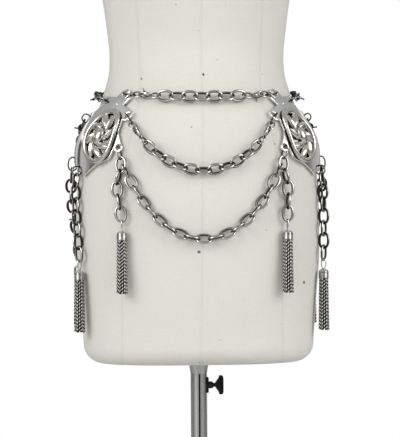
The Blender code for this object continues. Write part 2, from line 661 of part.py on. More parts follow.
def join_faces(bm, first, second):
    """Removes two faces that look at each other and joins them corner to corner."""
    middle = (first.calc_center_median() + second.calc_center_median()) / 2
    near, far = list(first.verts), list(second.verts)[::-1]
    orders = [far[i:] + far[:i] for i in range(len(far))]
    far = min(orders, key=lambda order: sum((a.co - b.co).length for a, b in zip(near, order)))
    for vert, other in zip(near, far):
        vert.co = middle + ((vert.co + other.co) / 2 - middle) * SEAT_SHARE
        other.co = vert.co
    welds = dict(zip(far, near))
    bmesh.ops.delete(bm, geom=[first, second], context="FACES_ONLY")
    bmesh.ops.weld_verts(bm, targetmap=welds)


def make_chain(name, path, elements, slack, rolls, finish, first=None):
    """Links along a path, each turned a quarter from the last and seated in it."""
    bm = bmesh.new()
    distance = elements[0].reach if first is None else first
    last_end = None
    for i, element in enumerate(elements):
        if i:
            distance += elements[i - 1].reach + element.reach - slack
        quarter = 90 if i % 2 == 0 else 0
        frame = path.frame(distance, element.reach, math.radians(quarter + rolls[i]))
        start, end = add_element(bm, element, frame)
        if last_end is not None:
            join_faces(bm, last_end, start)
        last_end = end
    object_from(name, bm, finish)
    return frame @ Vector((elements[-1].reach, 0, 0)), frame.col[1].to_3d()


def make_swag(name, path, ends, links, first, finish):
    """A chain with the play at each seat that makes it as long as its path."""
    elements = ends + (LINK,) * links + ends[::-1]
    room = path.length - 2 * first
    full = sum(a.reach + b.reach for a, b in zip(elements, elements[1:]))
    slack = (full - room) / (len(elements) - 1)
    last = len(elements) - 1
    rolls = [min(ROLL_STEP * min(i, last - i), SWAG_ROLL) for i in range(last + 1)]
    make_chain(name, path, elements, slack, rolls, finish, first)


def make_swags(drop_places_found, finish):
    for name, swag in SWAGS.items():
        arm = ARMS[swag.arm]
        angle = angle_after(arm.height, 90, -arm.arc)
        places = swag_places(angle, arm.height, swag.centre, swag.middle, swag.steepness)
        path = ChainPath(places, SWAG_LIFT)
        make_swag(name, path, swag.ends, swag.links, swag.ends[0].reach, finish)
    for name, swag in HOOKED_SWAGS.items():
        places = drop_places_found[swag.drop]
        held = drop_link_distance(DROPS[swag.drop].ring, swag.link)
        angle, height = place_along(places, held)
        toward = 1 if swag.centre > angle else -1
        start = angle_after(height, angle, toward * HOOK_SHIFT)
        places = swag_places(start, height, swag.centre, swag.middle, swag.steepness)
        path = ChainPath(places, SWAG_LIFT, ring_start=False, ring_end=False)
        make_swag(name, path, swag.ends, swag.links, CLASP.reach + CLASP.wire / 2, finish)


def drop_link_distance(ring, index):
    """How far down a drop the middle of a link is, the ring being link 0."""
    if not index:
        return ring.reach
    first = 2 * ring.reach + LINK.reach - PLAY
    return first + (index - 1) * (2 * LINK.reach - PLAY)


def drop_places(drop, side, samples=60):
    """Angle and height down a drop; the angle eases towards the tassel's."""
    arm = ARMS[drop.arm]
    start = angle_after(arm.height, 90, -arm.arc)
    end = drop.right_end if side > 0 else drop.left_end
    pulled = arm.height - drop_link_distance(drop.ring, drop.held)
    places = []
    for i in range(samples + 1):
        height = arm.height + (drop.foot - PATH_PAST_FOOT - arm.height) * i / samples
        ease = smooth_step((drop.sway_height - height) / (drop.sway_height - drop.foot))
        aside = drop.pull * math.exp(-(((height - pulled) / PULL_REACH) ** 2))
        places.append((side * (start + (end - start) * ease + aside), height))
    return places


def place_along(places, distance):
    """The angle and height at a distance down a list of places."""
    path = ChainPath(places, DROP_LIFT, ring_end=False)
    i = next(k for k in range(1, len(path.at)) if path.at[k] >= distance)
    share = (distance - path.at[i - 1]) / (path.at[i] - path.at[i - 1])
    (angle_a, height_a), (angle_b, height_b) = places[i - 1], places[i]
    return angle_a + (angle_b - angle_a) * share, height_a + (height_b - height_a) * share


def make_drops(finish, cap_finish):
    """The drops with their tassels. Gives the places down each drop on the +X side."""
    found = {}
    for name, drop in DROPS.items():
        for side, side_name in ((1, "right"), (-1, "left")):
            places = drop_places(drop, side)
            path = ChainPath(places, DROP_LIFT, ring_end=False)
            elements = (drop.ring,) + (LINK,) * drop.links
            rolls = [0] * (drop.held + 1)
            while len(rolls) < len(elements):
                rolls.append(min(rolls[-1] + ROLL_STEP, drop.roll))
            rolls = [side * roll for roll in rolls]
            piece = f"{name}_{side_name}"
            foot, bar = make_chain(piece, path, elements, PLAY, rolls, finish)
            make_tassel(f"{name}_tassel_{side_name}", foot, bar, cap_finish)
            if side > 0:
                found[name] = places
    return found


def strand_spots():
    """The strands stand in rings of six on a triangular grid."""
    spots = []
    for q in range(-STRAND_RINGS, STRAND_RINGS + 1):
        for r in range(-STRAND_RINGS, STRAND_RINGS + 1):
            if abs(q + r) <= STRAND_RINGS:
                spots.append((STRAND_PITCH * (q + r / 2), STRAND_PITCH * r * math.sqrt(3) / 2))
    return spots


def make_tassel(name, foot, bar, finish):
    """An eye that hangs in the last link, a turned cap, and the strands rooted in the cap."""
    eye_height = foot.z + PLAY - EYE.reach
    cap_top = eye_height - EYE.reach - EYE.wire / 2
    cap_foot = cap_top - CAP_HEIGHT
    cap = turned(name, [
        (0, cap_top), (CAP_NECK_RADIUS, cap_top), (CAP_NECK_RADIUS, cap_top - CAP_NECK),
        (CAP_BROW_RADIUS, cap_top - CAP_BROW), (CAP_RADIUS, cap_top - CAP_ROUND),
        (CAP_RADIUS, cap_foot), (0, cap_foot),
    ], finish, sides=CAP_SIDES)
    down, flat_bar = Vector((0, 0, -1)), Vector((bar.x, bar.y, 0)).normalized()
    stand = Matrix((down, flat_bar.cross(down), flat_bar)).transposed().to_4x4()
    stand.translation = (0, 0, eye_height)
    eye = bmesh.new()
    add_element(eye, EYE, stand)
    boolean(cap, "UNION", object_from(f"{name}_eye", eye, finish))
    strands = bmesh.new()
    top = cap_foot + STRAND_ROOT
    for i, (x, y) in enumerate(strand_spots()):
        short = STRAND_UNEVEN * (1 + math.sin(UNEVEN_STEP * i)) / 2
        length = STRAND_LENGTH + STRAND_ROOT - short
        made = bmesh.ops.create_cone(
            strands, cap_ends=True, segments=3, radius1=STRAND_RADIUS, radius2=STRAND_RADIUS,
            depth=length, matrix=Matrix.Translation((x, y, top - length / 2)),
        )
        for vert in made["verts"]:
            if vert.co.z < top - length / 2:
                vert.co.x += x * (STRAND_SPREAD - 1)
                vert.co.y += y * (STRAND_SPREAD - 1)
    boolean(cap, "UNION", object_from(f"{name}_strands", strands, finish, smooth=False))
    for piece in [cap] + [change.object for change in cap.modifiers]:
        piece.location = (foot.x, foot.y, 0)


def clear_scene():
    for thing in list(bpy.data.objects):
        bpy.data.objects.remove(thing)
    for name in (COLLECTION, "cutters"):
        home = bpy.data.collections.new(name)
        bpy.context.scene.collection.children.link(home)
    bpy.data.collections["cutters"].hide_render = True


def main():
    clear_scene()
    linen = material("linen", (0.72, 0.70, 0.64), 0.9, 0)
    silver = material("antiqued_silver", (0.62, 0.62, 0.60), 0.28, 1)
    bright = material("bright_silver", (0.72, 0.73, 0.73), 0.16, 1)
    steel = material("brushed_steel", (0.45, 0.46, 0.47), 0.35, 1)
    black = material("black_metal", (0.03, 0.03, 0.03), 0.45, 0)
    cast = material("painted_cast_iron", (0.05, 0.05, 0.05), 0.5, 0)
    wood = material("turned_wood", (0.35, 0.20, 0.10), 0.5, 0)
    make_torso(linen, black)
    make_stand(steel, black, cast)
    make_top(linen, wood)
    for side, side_name in ((1, "right"), (-1, "left")):
        make_plate(f"hip_plate_{side_name}", side, bright)
        make_ornament(f"ornament_{side_name}", side, silver)
    make_swags(make_drops(silver, bright), silver)


main()
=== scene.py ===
"""The looks of a metal chain belt and of the limbless dress form that wears it.

Metres, +Z up, the form's front towards -Y. A place on the torso is given by its height and by
its angle round the pole: 0 degrees is the centre front, 90 the side seam at +X and 180 the
centre back. Lift is the distance out from the torso's surface.
"""

import math
from collections import namedtuple
from functools import lru_cache

import bmesh
import bpy
from mathutils import Matrix, Vector


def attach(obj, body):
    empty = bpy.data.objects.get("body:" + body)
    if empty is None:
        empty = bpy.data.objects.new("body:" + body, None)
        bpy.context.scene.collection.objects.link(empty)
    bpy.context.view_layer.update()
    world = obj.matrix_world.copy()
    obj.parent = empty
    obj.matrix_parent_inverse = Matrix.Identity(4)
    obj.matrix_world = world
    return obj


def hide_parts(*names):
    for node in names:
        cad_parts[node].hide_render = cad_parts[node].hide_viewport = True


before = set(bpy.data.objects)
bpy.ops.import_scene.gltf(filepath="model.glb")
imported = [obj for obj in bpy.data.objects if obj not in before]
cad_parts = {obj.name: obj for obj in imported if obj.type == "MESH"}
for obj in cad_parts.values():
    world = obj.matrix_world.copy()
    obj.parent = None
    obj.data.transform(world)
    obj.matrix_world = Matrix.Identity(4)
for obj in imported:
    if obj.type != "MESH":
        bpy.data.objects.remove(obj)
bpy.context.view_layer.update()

SIDES = ((1, "right"), (-1, "left"))  # the form's sides at +X and at -X
GAP = 0.0003  # between pieces that rest on each other
MERGE = 1e-6  # points nearer than this are one
EDGE = 0.0006  # the broken edges of turned pieces

# The torso, as rows from its hem to its neck.
Section = namedtuple("Section", "height half_width front back squareness")
SECTIONS = [
    Section(0.6345, 0.1590, 0.1040, 0.1130, 2.4),
    Section(0.6762, 0.1616, 0.1060, 0.1160, 2.3),
    Section(0.7336, 0.1660, 0.1125, 0.1235, 2.2),
    Section(0.7756, 0.1695, 0.1165, 0.1275, 2.2),
    Section(0.8176, 0.1700, 0.1185, 0.1300, 2.2),
    Section(0.8596, 0.1690, 0.1185, 0.1290, 2.2),
    Section(0.9086, 0.1662, 0.1160, 0.1225, 2.2),
    Section(0.9296, 0.1652, 0.1140, 0.1195, 2.2),
    Section(0.9450, 0.1615, 0.1120, 0.1175, 2.2),
    Section(0.9600, 0.1540, 0.1085, 0.1135, 2.2),
    Section(0.9780, 0.1430, 0.1040, 0.1075, 2.15),
    Section(0.9954, 0.1345, 0.0985, 0.1015, 2.1),
    Section(1.0136, 0.1288, 0.0935, 0.0965, 2.1),
    Section(1.0330, 0.1234, 0.0895, 0.0925, 2.05),
    Section(1.0600, 0.1217, 0.0870, 0.0900, 2.0),
    Section(1.0864, 0.1240, 0.0895, 0.0915, 2.0),
    Section(1.1396, 0.1311, 0.1035, 0.0965, 2.1),
    Section(1.1800, 0.1395, 0.1130, 0.1000, 2.2),
    Section(1.2200, 0.1450, 0.1170, 0.1030, 2.2),
    Section(1.2700, 0.1520, 0.1130, 0.1060, 2.3),
    Section(1.3200, 0.1620, 0.1020, 0.1070, 2.4),
    Section(1.3600, 0.1690, 0.0880, 0.1020, 2.4),
    Section(1.3950, 0.1680, 0.0740, 0.0920, 2.3),
    Section(1.4150, 0.1450, 0.0660, 0.0830, 2.2),
    Section(1.4320, 0.1120, 0.0600, 0.0750, 2.1),
    Section(1.4480, 0.0820, 0.0560, 0.0680, 2.0),
    Section(1.4640, 0.0640, 0.0530, 0.0610, 2.0),
    Section(1.4900, 0.0565, 0.0515, 0.0560, 2.0),
    Section(1.5300, 0.0545, 0.0510, 0.0540, 2.0),
]
TORSO_BOTTOM, TORSO_TOP = SECTIONS[0].height, SECTIONS[-1].height
HEM_RADIUS, HEM_ROWS = 0.024, 9
BODY_ROW, COVER_COLUMNS = 0.0080, 120
SHOULDER_START, ARMHOLE_X = 1.200, 0.158
BUST_X, BUST_HEIGHT = 0.078, 1.215
BUST_SPREAD_X, BUST_SPREAD_Z, BUST_SWELL = 0.045, 0.050, 0.020
TORSO_BORE, BORE_TOP = 0.0106, 1.000
NEAR_TURN, NEAR_RISE = 1.5, 0.004  # how far apart the points are that give the surface's slope

# The stand.
BASE_RADIUS, BASE_RIM, BASE_CROWN, HUB_RADIUS, HUB_TOP = 0.200, 0.012, 0.020, 0.019, 0.060
FOOT_ROUND, RIM_ROUND, HUB_ROUND = 0.003, 0.005, 0.002
POLE_RADIUS, POLE_TOP, POLE_SEAT, HUB_BORE = 0.0100, 0.860, 0.020, 0.0104
SLEEVE_RADIUS, SLEEVE_BORE, SLEEVE_BOTTOM = 0.0115, 0.0104, 0.460
SLOT_WIDTH, SLOT_TOP, SLEEVE_STEPS = 0.0022, 0.617, 48
SHADE_LINER_RADIUS, SHADE_LINER_BORE = 0.01038, 0.0101  # a thin black sheet inside the sleeve, painted shade for the pole seen through the slot
FLANGE_RADIUS, FLANGE_TAPER = 0.0145, 0.0177
KNOB_HEIGHT, KNOB_THREAD = 0.6006, 0.0026
BOSS_RADIUS, BOSS_START, BOSS_END = 0.0050, 0.0108, 0.0185
SADDLE_HALF_WIDTH, SADDLE_HALF_HEIGHT, SADDLE_END = 0.0046, 0.0110, 0.0137
SADDLE_EDGE, WING_EDGE = 0.0012, 0.0008
WING_START, WING_END, WING_HALF_SPAN, WING_THICKNESS = 0.0265, 0.0345, 0.0135, 0.0080
ARM_PLATE_HEIGHT, ARM_PLATE_HALF_WIDTH, ARM_PLATE_HALF_HEIGHT = 1.355, 0.034, 0.044
ARM_PLATE_THICKNESS = 0.006
NECK_CAP_THICKNESS, FINIAL_RADIUS = 0.012, 0.016

# The hip plates, laid out flat: arc is forward from the side seam, height is above the floor.
PLATE_THICKNESS, PLATE_LIFT, PLATE_EDGE = 0.0024, 0.0036, 0.0007
HOLE_RADIUS, HOLE_SIDES, LOBE_RADIUS = 0.0038, 20, 0.0070
LOBE_TURNS = range(72, -73, -16)  # degrees from an arm's heading to the points of its round end
PLATE_GRID = 0.0045  # the plate is cut this fine, so that it bends smoothly
Arm = namedtuple("Arm", "arc height heading")
ARMS = {
    "top_front": Arm(0.0770, 1.0020, 15),
    "upper_front": Arm(0.1018, 0.9712, -40),
    "lower_front": Arm(0.1105, 0.9299, -82),
    "bottom": Arm(0.0360, 0.9048, -95),
    "lower_back": Arm(0.0000, 0.9190, -115),
    "upper_back": Arm(0.0080, 0.9740, -150),
    "top_back": Arm(0.0475, 0.9938, 168),
}
NOTCHES = {
    "top_front": [(0.0890, 0.9970), (0.0840, 0.9860)],
    "upper_front": [(0.1030, 0.9515)],
    "lower_front": [(0.0995, 0.9145), (0.0775, 0.9070), (0.0515, 0.8915)],
    "bottom": [(0.0190, 0.9060)],
    "lower_back": [(0.0040, 0.9475)],
    "upper_back": [(0.0290, 0.9800)],
    "top_back": [(0.0545, 0.9995), (0.0640, 0.9985), (0.0710, 1.0060)],
}
ORNAMENT_ARC, ORNAMENT_HEIGHT, ORNAMENT_TILT = 0.0770, 0.9440, 8
ORNAMENT_HALF_WIDTH, ORNAMENT_HALF_HEIGHT = 0.0265, 0.0360
RIM_RADIUS, PETALS, PETAL_LEAN = 0.0027, 8, 35
PETAL_LENGTH, PETAL_WIDTH, PETAL_RISE = 0.66, 0.29, 0.0042
PETAL_REACH, BOSS_SHARE, BOSS_RISE = 0.62, 0.30, 0.0065
PETAL_KEEL, KEEL_WIDTH, DOME_FOOT = 0.16, 0.22, -0.2  # shares of a dome of radius 1
ORNAMENT_SHADE = 0.0046  # how far up an ornament the tarnish reaches
RIVET_ARC, RIVET_HEIGHT, RIVET_RADIUS = 0.0723, 0.9873, 0.0017
RIVET_FLATNESS, RIVET_GAP = 0.6, 0.0001

# Chain elements: width across, thickness of wire, reach from centre to the end's inner face.
Element = namedtuple("Element", "width wire reach")
LONG_RING = Element(0.0144, 0.0020, 0.0084)
SHORT_RING = Element(0.0144, 0.0020, 0.0053)
SMALL = Element(0.0116, 0.0022, 0.0054)
CLASP = Element(0.0116, 0.0022, 0.0090)
LINK = Element(0.0172, 0.0032, 0.00865)
EYE = Element(0.0082, 0.0014, 0.0064)
SWAG_LIFT, DROP_LIFT, RING_LIFT = 0.0086, 0.0091, 0.0079
LIFT_START, LIFT_RUN = 0.008, 0.014  # where a chain rises from its ring's lift to its own
PLAY = 0.0004  # how far the elements of a drop overlap where they hang on each other
HOOK_SHIFT = 0.0029  # from the middle of a held link to the clasp's bow
LINK_SWELL = 0.20  # how much broader a link's wire is along its sides than at its ends
RUB_LOW, RUB_HIGH = 0.50, 0.97  # cosines to the outward direction, from painted shade to rubbed bright
BODY_FLATNESS = 2.2  # the form is flatter front to back, so outward leans this much more to Y
ROLL_STEP, DROP_ROLL_STEP = 20, 10  # degrees by which a chain's roll grows from link to link
RINGED = (LONG_RING, SMALL, CLASP, SMALL)
INNER_SHADE, INNER_SHADE_RUN, BODY_SHADE = 0.28, 0.80, 0.95  # tarnish on a link's inner side, and painted shade on its side turned to the body
BOW_WIRE, CLASP_BOW_END, CLASP_EYE, EYE_WIRE = 0.0026, 0.0034, 0.0031, 0.0013
BOW_NARROWING, BOW_THICKENING, EYE_PLAY = 0.34, 0.35, 0.0004
CLASP_BODY, CLASP_BODY_PLACE = (0.0062, 0.0036, 0.0025), (0.0004, 0.0014, 0)
PIN_RADIUS, PIN_LENGTH, PIN_PLACE = 0.0008, 0.0062, (0.0010, 0.0014, 0)
BARREL_LENGTH, BARREL_RADII = 0.0026, (0.0026, 0.0020)  # the swivel, from its wide end
LEVER_LENGTH, LEVER_RADII, LEVER_PLACE = 0.0048, (0.0012, 0.0007), (-0.0022, 0.0072, 0)
THUMB_RADIUS, THUMB_PLACE = 0.0012, (-0.0030, 0.0096, 0)
CLASP_BODY_LEAN, LEVER_LEAN = -0.16, 0.35  # in radians
LEVER_DOWN = ("front_waist_chain",)  # the clasp at its +X end lies with the lever down
Swag = namedtuple("Swag", "arm centre middle steepness rolls ends links")
SWAGS = {
    "front_waist_chain": Swag("top_front", 0, 0.9950, 1.6, (60, 27), RINGED, 7),
    "front_upper_swag": Swag("upper_front", 0, 0.8975, 1.6, (60, 60), RINGED, 11),
    "back_waist_chain": Swag("top_back", 180, 1.0120, 2.0, (60, 60), RINGED, 23),
    "back_upper_swag": Swag("upper_back", 180, 0.8680, 1.6, (60, 60), RINGED, 27),
}
Hooked = namedtuple("Hooked", "drop link centre middle steepness rolls ends links")
HOOKED_SWAGS = {
    "front_lower_swag": Hooked("inner_drop", 1, 0, 0.8070, 1.6, (10, 42), (CLASP,), 17),
    "back_lower_swag": Hooked("back_drop", 5, 180, 0.7700, 1.2, (60, 60), (CLASP, SMALL), 23),
}
Drop = namedtuple("Drop", "arm ring links roll held pull right_end left_end sway_height foot")
DROPS = {
    "inner_drop": Drop("lower_front", LONG_RING, 5, 20, 1, -2.6, 38.4, 35.7, 0.895, 0.815),
    "outer_drop": Drop("bottom", SHORT_RING, 7, 10, 0, 0.0, 73.0, 67.5, 0.905, 0.765),
    "back_drop": Drop("lower_back", LONG_RING, 8, 0, 5, 0.0, 112.0, 112.0, 0.919, 0.788),
}
PULL_REACH = 0.020  # how far above and below the held link a drop is pulled aside
DROP_SPARE = 0.020  # the path goes on below a drop's foot
CAP_RADIUS, CAP_HEIGHT, CAP_DOME, CAP_TIP = 0.0069, 0.0135, 0.0052, 0.0004
CROWN_SHADE, WALL_SHADE, HOLLOW_SHADE = 0.08, 0.57, 0.9  # how dark a cap is on its crown, down its wall and in its hollow
STRAND_PITCH, STRAND_RADIUS, STRAND_LENGTH = 0.00262, 0.00145, 0.0720
STRAND_ROOT, STRAND_RINGS, STRAND_SPREAD, STRAND_UNEVEN = 0.0010, 2, 1.2, 0.0025
STRAND_TURN, STRAND_STEPS = 0.0094, 100  # one twist of a strand, and its steps in all
STRAND_FLAT, STRAND_PHASE, STRAND_WAVE = 0.60, 1.57, 7.3
STRAND_BRIGHT, STRAND_SHADE_RUN = 0.3, 0.35  # bright along the middle of the bar, painted shade beside it for the gaps between the fine links

# The studio. A band is a place on the unit sphere of directions and the light from there.
Lamp = namedtuple("Lamp", "name place size energy")
LAMPS = [
    Lamp("key", (-2.1, -1.9, 2.0), 1.7, 43),
    Lamp("fill", (2.2, -1.8, 1.9), 1.7, 36),
    Lamp("back", (0.0, 3.2, 1.5), 1.2, 26),
]
LAMP_AIM = (0, 0, 0.85)
FLOOR_RADIUS, FLOOR_TONE = 2.4, (0.82, 0.82, 0.82)
HEIGHT_BANDS = [
    (-1.0, 0.10), (-0.55, 0.30), (-0.25, 0.08), (0.20, 1.20), (0.28, 1.20), (0.31, 0.40),
    (0.42, 0.42), (0.56, 0.45), (0.66, 0.60), (0.85, 0.45), (1.0, 0.60),
]
LEVEL_SHARE = [(-0.40, 0), (-0.22, 1), (0.20, 1), (0.26, 0)]  # where the bands run upright
FRONT_BANDS = [
    (-1.0, 0.38), (-0.90, 0.38), (-0.80, 0.95), (-0.55, 0.95), (-0.45, 0.62), (-0.16, 0.62),
    (-0.10, 0.02), (0.32, 0.02), (0.40, 0.50), (0.80, 0.45), (1.0, 0.36),
]
BACK_BANDS = [
    (-1.0, 0.10), (-0.90, 0.50), (-0.76, 0.55), (-0.69, 0.07), (-0.58, 0.10), (-0.50, 0.70),
    (-0.30, 0.45), (-0.10, 0.12), (0.15, 0.12), (0.45, 0.55), (0.85, 0.45), (1.0, 0.10),
]
SIDE_BLEND = 0.10  # half the width in Y over which the front bands turn into the back bands
BEHIND = (0.0, 0.18)  # the cloth's even light fades out between these places in Y
FRONT_GLOW, BACK_GLOW, WHITE = (0.52, 0.52, 0.515), (0.03, 0.03, 0.03), (1.0, 1.0, 1.0)

# The camera, as fitted to the photograph.
VIEW_DISTANCE, VIEW_HEIGHT, VIEW_TURN, VIEW_LEAN = 2.6, 0.8337, 3.8, 0.4
PHOTO_WIDTH, FOCAL_PIXELS, AXIS_PIXEL, SENSOR = 400, 1857.14, 197.7, 36


def smooth_step(share):
    """0 below 0, 1 above 1, smooth between."""
    share = min(max(share, 0.0), 1.0)
    return share * share * (3 - 2 * share)


@lru_cache(maxsize=None)
def section_at(height):
    """The torso's section at any height, on a smooth curve through the rows."""
    height = min(max(height, TORSO_BOTTOM), TORSO_TOP)
    upper = next(i for i in range(1, len(SECTIONS)) if SECTIONS[i].height >= height)
    rows = [SECTIONS[min(max(upper + k, 0), len(SECTIONS) - 1)] for k in (-2, -1, 0, 1)]
    span = rows[2].height - rows[1].height
    t = (height - rows[1].height) / span
    found = []
    for column in range(1, len(Section._fields)):
        before, low, high, after = (row[column] for row in rows)
        slope_low = (high - before) / (rows[2].height - rows[0].height) * span
        slope_high = (after - low) / (rows[3].height - rows[1].height) * span
        value = (2 * t**3 - 3 * t**2 + 1) * low + (t**3 - 2 * t**2 + t) * slope_low
        value += (3 * t**2 - 2 * t**3) * high + (t**3 - t**2) * slope_high
        found.append(value)
    return Section(height, *found)


def torso_point(angle, height):
    """A place on the surface: a squared oval, with the bust and the flat armholes."""
    section = section_at(height)
    turn = math.radians(angle)
    power = 2 / section.squareness
    sine, cosine = math.sin(turn), math.cos(turn)
    depth = section.front if cosine > 0 else section.back
    x = section.half_width * math.copysign(abs(sine) ** power, sine)
    y = -depth * math.copysign(abs(cosine) ** power, cosine)
    if cosine > 0:
        aside = (abs(x) - BUST_X) / BUST_SPREAD_X
        above = (height - BUST_HEIGHT) / BUST_SPREAD_Z
        y -= BUST_SWELL * math.exp(-aside * aside - above * above) * min(1, 4 * cosine)
    if height > SHOULDER_START:
        x = min(max(x, -ARMHOLE_X), ARMHOLE_X)
    return Vector((x, y, height))


def torso_normal(angle, height):
    along = torso_point(angle + NEAR_TURN, height) - torso_point(angle - NEAR_TURN, height)
    up = torso_point(angle, height + NEAR_RISE) - torso_point(angle, height - NEAR_RISE)
    return along.cross(up).normalized()


def on_torso(angle, height, lift):
    return torso_point(angle, height) + torso_normal(angle, height) * lift


def angle_after(height, start, arc):
    """The angle reached by walking this arc round the torso, from the start angle."""
    step = math.copysign(1.0, arc)
    angle, left = start, abs(arc)
    here = torso_point(angle, height)
    while left > 0:
        ahead = torso_point(angle + step, height)
        length = (ahead - here).length
        if length >= left:
            return angle + step * left / length
        left -= length
        angle += step
        here = ahead
    return angle


def arc_between(height, start, end):
    count = max(2, round(abs(end - start)))
    points = [torso_point(start + (end - start) * i / count, height) for i in range(count + 1)]
    return sum((b - a).length for a, b in zip(points, points[1:]))


class Value:
    """A number or vector in a node tree, so that its sums read as plain arithmetic."""

    def __init__(self, nodes, socket):
        self.nodes, self.socket = nodes, socket

    def sum(self, operation, *others):
        made = self.nodes.tree.nodes.new("ShaderNodeMath")
        made.operation = operation
        for socket, value in zip(made.inputs, (self, *others)):
            self.nodes.feed(socket, value)
        return Value(self.nodes, made.outputs[0])

    def __add__(self, other):
        return self.sum("ADD", other)

    def __mul__(self, other):
        return self.sum("MULTIPLY", other)

    def __sub__(self, other):
        return self.sum("SUBTRACT", other)

    def __rsub__(self, other):
        return (self * -1) + other

    def __truediv__(self, other):
        return self.sum("DIVIDE", other)

    def __pow__(self, other):
        return self.sum("POWER", other)

    def __lt__(self, other):
        return self.sum("LESS_THAN", other)

    def __abs__(self):
        return self.sum("ABSOLUTE")

    def sine(self):
        return self.sum("SINE")

    def fraction(self):
        return self.sum("FRACT")

    def highest(self, other):
        return self.sum("MAXIMUM", other)

    def lowest(self, other):
        return self.sum("MINIMUM", other)

    def within(self, low, high):
        """0 at low, 1 at high, smooth between."""
        return self.nodes.node(
            "MapRange", {"interpolation_type": "SMOOTHSTEP"},
            Value=self, From_Min=low, From_Max=high,
        )


class Nodes:
    """A node tree, with one method that adds any node to it."""

    def __init__(self, tree):
        self.tree = tree

    def feed(self, socket, value):
        if isinstance(value, Value):
            self.tree.links.new(value.socket, socket)
        elif isinstance(value, tuple) and len(value) == 3 and socket.type == "RGBA":
            socket.default_value = (*value, 1)
        else:
            socket.default_value = value

    def node(self, kind, settings=None, output=0, **sockets):
        """Adds a node. A socket is named by its identifier or by its name."""
        made = self.tree.nodes.new("ShaderNode" + kind)
        for name, value in (settings or {}).items():
            if name == "stops":
                set_stops(made.color_ramp.elements, value)
            else:
                setattr(made, name, value)
        inputs = {socket.identifier: socket for socket in made.inputs}
        for name, value in sockets.items():
            self.feed(inputs.get(name) or made.inputs[name.replace("_", " ")], value)
        return Value(self, made.outputs[output])

    def place(self, source="Object"):
        """The place on the object, and its three numbers."""
        spot = self.node("TexCoord", output=source)
        parts = self.node("SeparateXYZ", Vector=spot).socket.node
        return spot, *(Value(self, out) for out in parts.outputs)

    def mix(self, share, first, second):
        return self.node(
            "Mix", {"data_type": "RGBA"}, output=2,
            Factor_Float=share, A_Color=first, B_Color=second,
        )


def set_stops(ramp, stops):
    """Sets a ramp's stops, each a place from -1 to 1 and a colour."""
    while len(ramp) < len(stops):
        ramp.new(0.5)
    for element, (place, colour) in zip(ramp, stops):
        element.position = (place + 1) / 2
        element.color = (*colour, 1)


class Finish(Nodes):
    """A material: a Principled shader, and the nodes that feed it."""

    def __init__(self, name, **fixed):
        self.material = bpy.data.materials.new(name)
        self.material.use_nodes = True
        super().__init__(self.material.node_tree)
        self.shader = self.tree.nodes["Principled BSDF"]
        self.set(**fixed)

    def set(self, **sockets):
        for name, value in sockets.items():
            self.feed(self.shader.inputs[name.replace("_", " ")], value)

    def noise(self, spot, scale, detail=2.0, roughness=0.5):
        return self.node("TexNoise", Vector=spot, Scale=scale, Detail=detail, Roughness=roughness)

    def stretched_noise(self, spot, scales, detail=2.0):
        """Noise of its own scale along each axis, so that it runs in threads or lines."""
        return self.noise(self.node("Mapping", Vector=spot, Scale=scales), 1.0, detail)

    def bump(self, height, strength=1.0):
        """Relief whose height is in metres."""
        self.set(Normal=self.node("Bump", Height=height, Distance=1.0, Strength=strength))


# Small marks on the front of the linen. A mark's x and height are its middle's.
Mark = namedtuple("Mark", "x height half_width half_height strength colour")
BROWN, GREY = (0.035, 0.020, 0.010), (0.10, 0.09, 0.08)
MARKS = [
    Mark(0.0031, 1.0283, 0.0016, 0.0020, 0.95, BROWN),
    Mark(-0.0801, 1.0240, 0.0014, 0.0016, 0.80, GREY),
    Mark(-0.0337, 1.1221, 0.0012, 0.0010, 0.60, GREY),
    Mark(0.0226, 1.0486, 0.0011, 0.0010, 0.45, GREY),
    Mark(-0.0031, 1.0877, 0.0012, 0.0012, 0.30, GREY),
    Mark(0.0855, 1.0304, 0.0012, 0.0014, 0.30, GREY),
    Mark(-0.0147, 0.9562, 0.0013, 0.0012, 0.65, GREY),
    Mark(0.0988, 0.9337, 0.0013, 0.0013, 0.65, GREY),
    Mark(-0.0064, 0.7889, 0.0024, 0.0021, 0.95, GREY),
    Mark(0.1408, 0.7453, 0.0017, 0.0024, 0.95, GREY),
    Mark(-0.0057, 0.6392, 0.0012, 0.0010, 0.60, GREY),
    Mark(-0.0003, 0.6389, 0.0012, 0.0010, 0.60, GREY),
    Mark(0.0221, 0.6704, 0.0010, 0.0010, 0.45, GREY),
    Mark(0.0856, 0.8175, 0.0022, 0.0008, 0.30, GREY),
    Mark(0.1022, 0.8720, 0.0009, 0.0012, 0.40, GREY),
]
# The side front seams stand SEAM_X from the middle at the waist, and run out over the hips.
SEAM_X, SEAM_DRIFT, HIP_SPREAD = 0.0820, 0.037, 0.0270
HIP_TOP, HIP_LOW, SEAM_WAIST = 1.020, 0.870, 1.030
CENTRE_DRIFT, CENTRE_SHIFT = 0.014, 0.0006  # the centre seam's lean, and the most it may reach
CENTRE_HEIGHT = 0.930  # where the centre seam crosses the middle
SIDE_SEAM_Y, SIDE_SEAM_X = 0.004, 0.10  # the side seams' depth; they lie further out than this X
STITCH, STITCH_ASIDE = 0.0034, 0.0016
THREAD = 0.00062  # from one thread of the weave to the next
WEAVE_RISE, SLUB_RISE, CREASE_DEPTH, SEAM_DEPTH, STITCH_DEPTH = (
    0.00003, 0.00006, 0.00016, 0.00012, 0.00008
)
LINEN_DARK, LINEN_PALE = (0.750, 0.732, 0.670), (0.815, 0.802, 0.750)
SLUB_TONE, WEAVE_TONE, GRAIN_TONE = (0.60, 0.57, 0.50), (0.56, 0.54, 0.48), (0.60, 0.58, 0.52)
SEAM_TONE = (0.40, 0.37, 0.31)


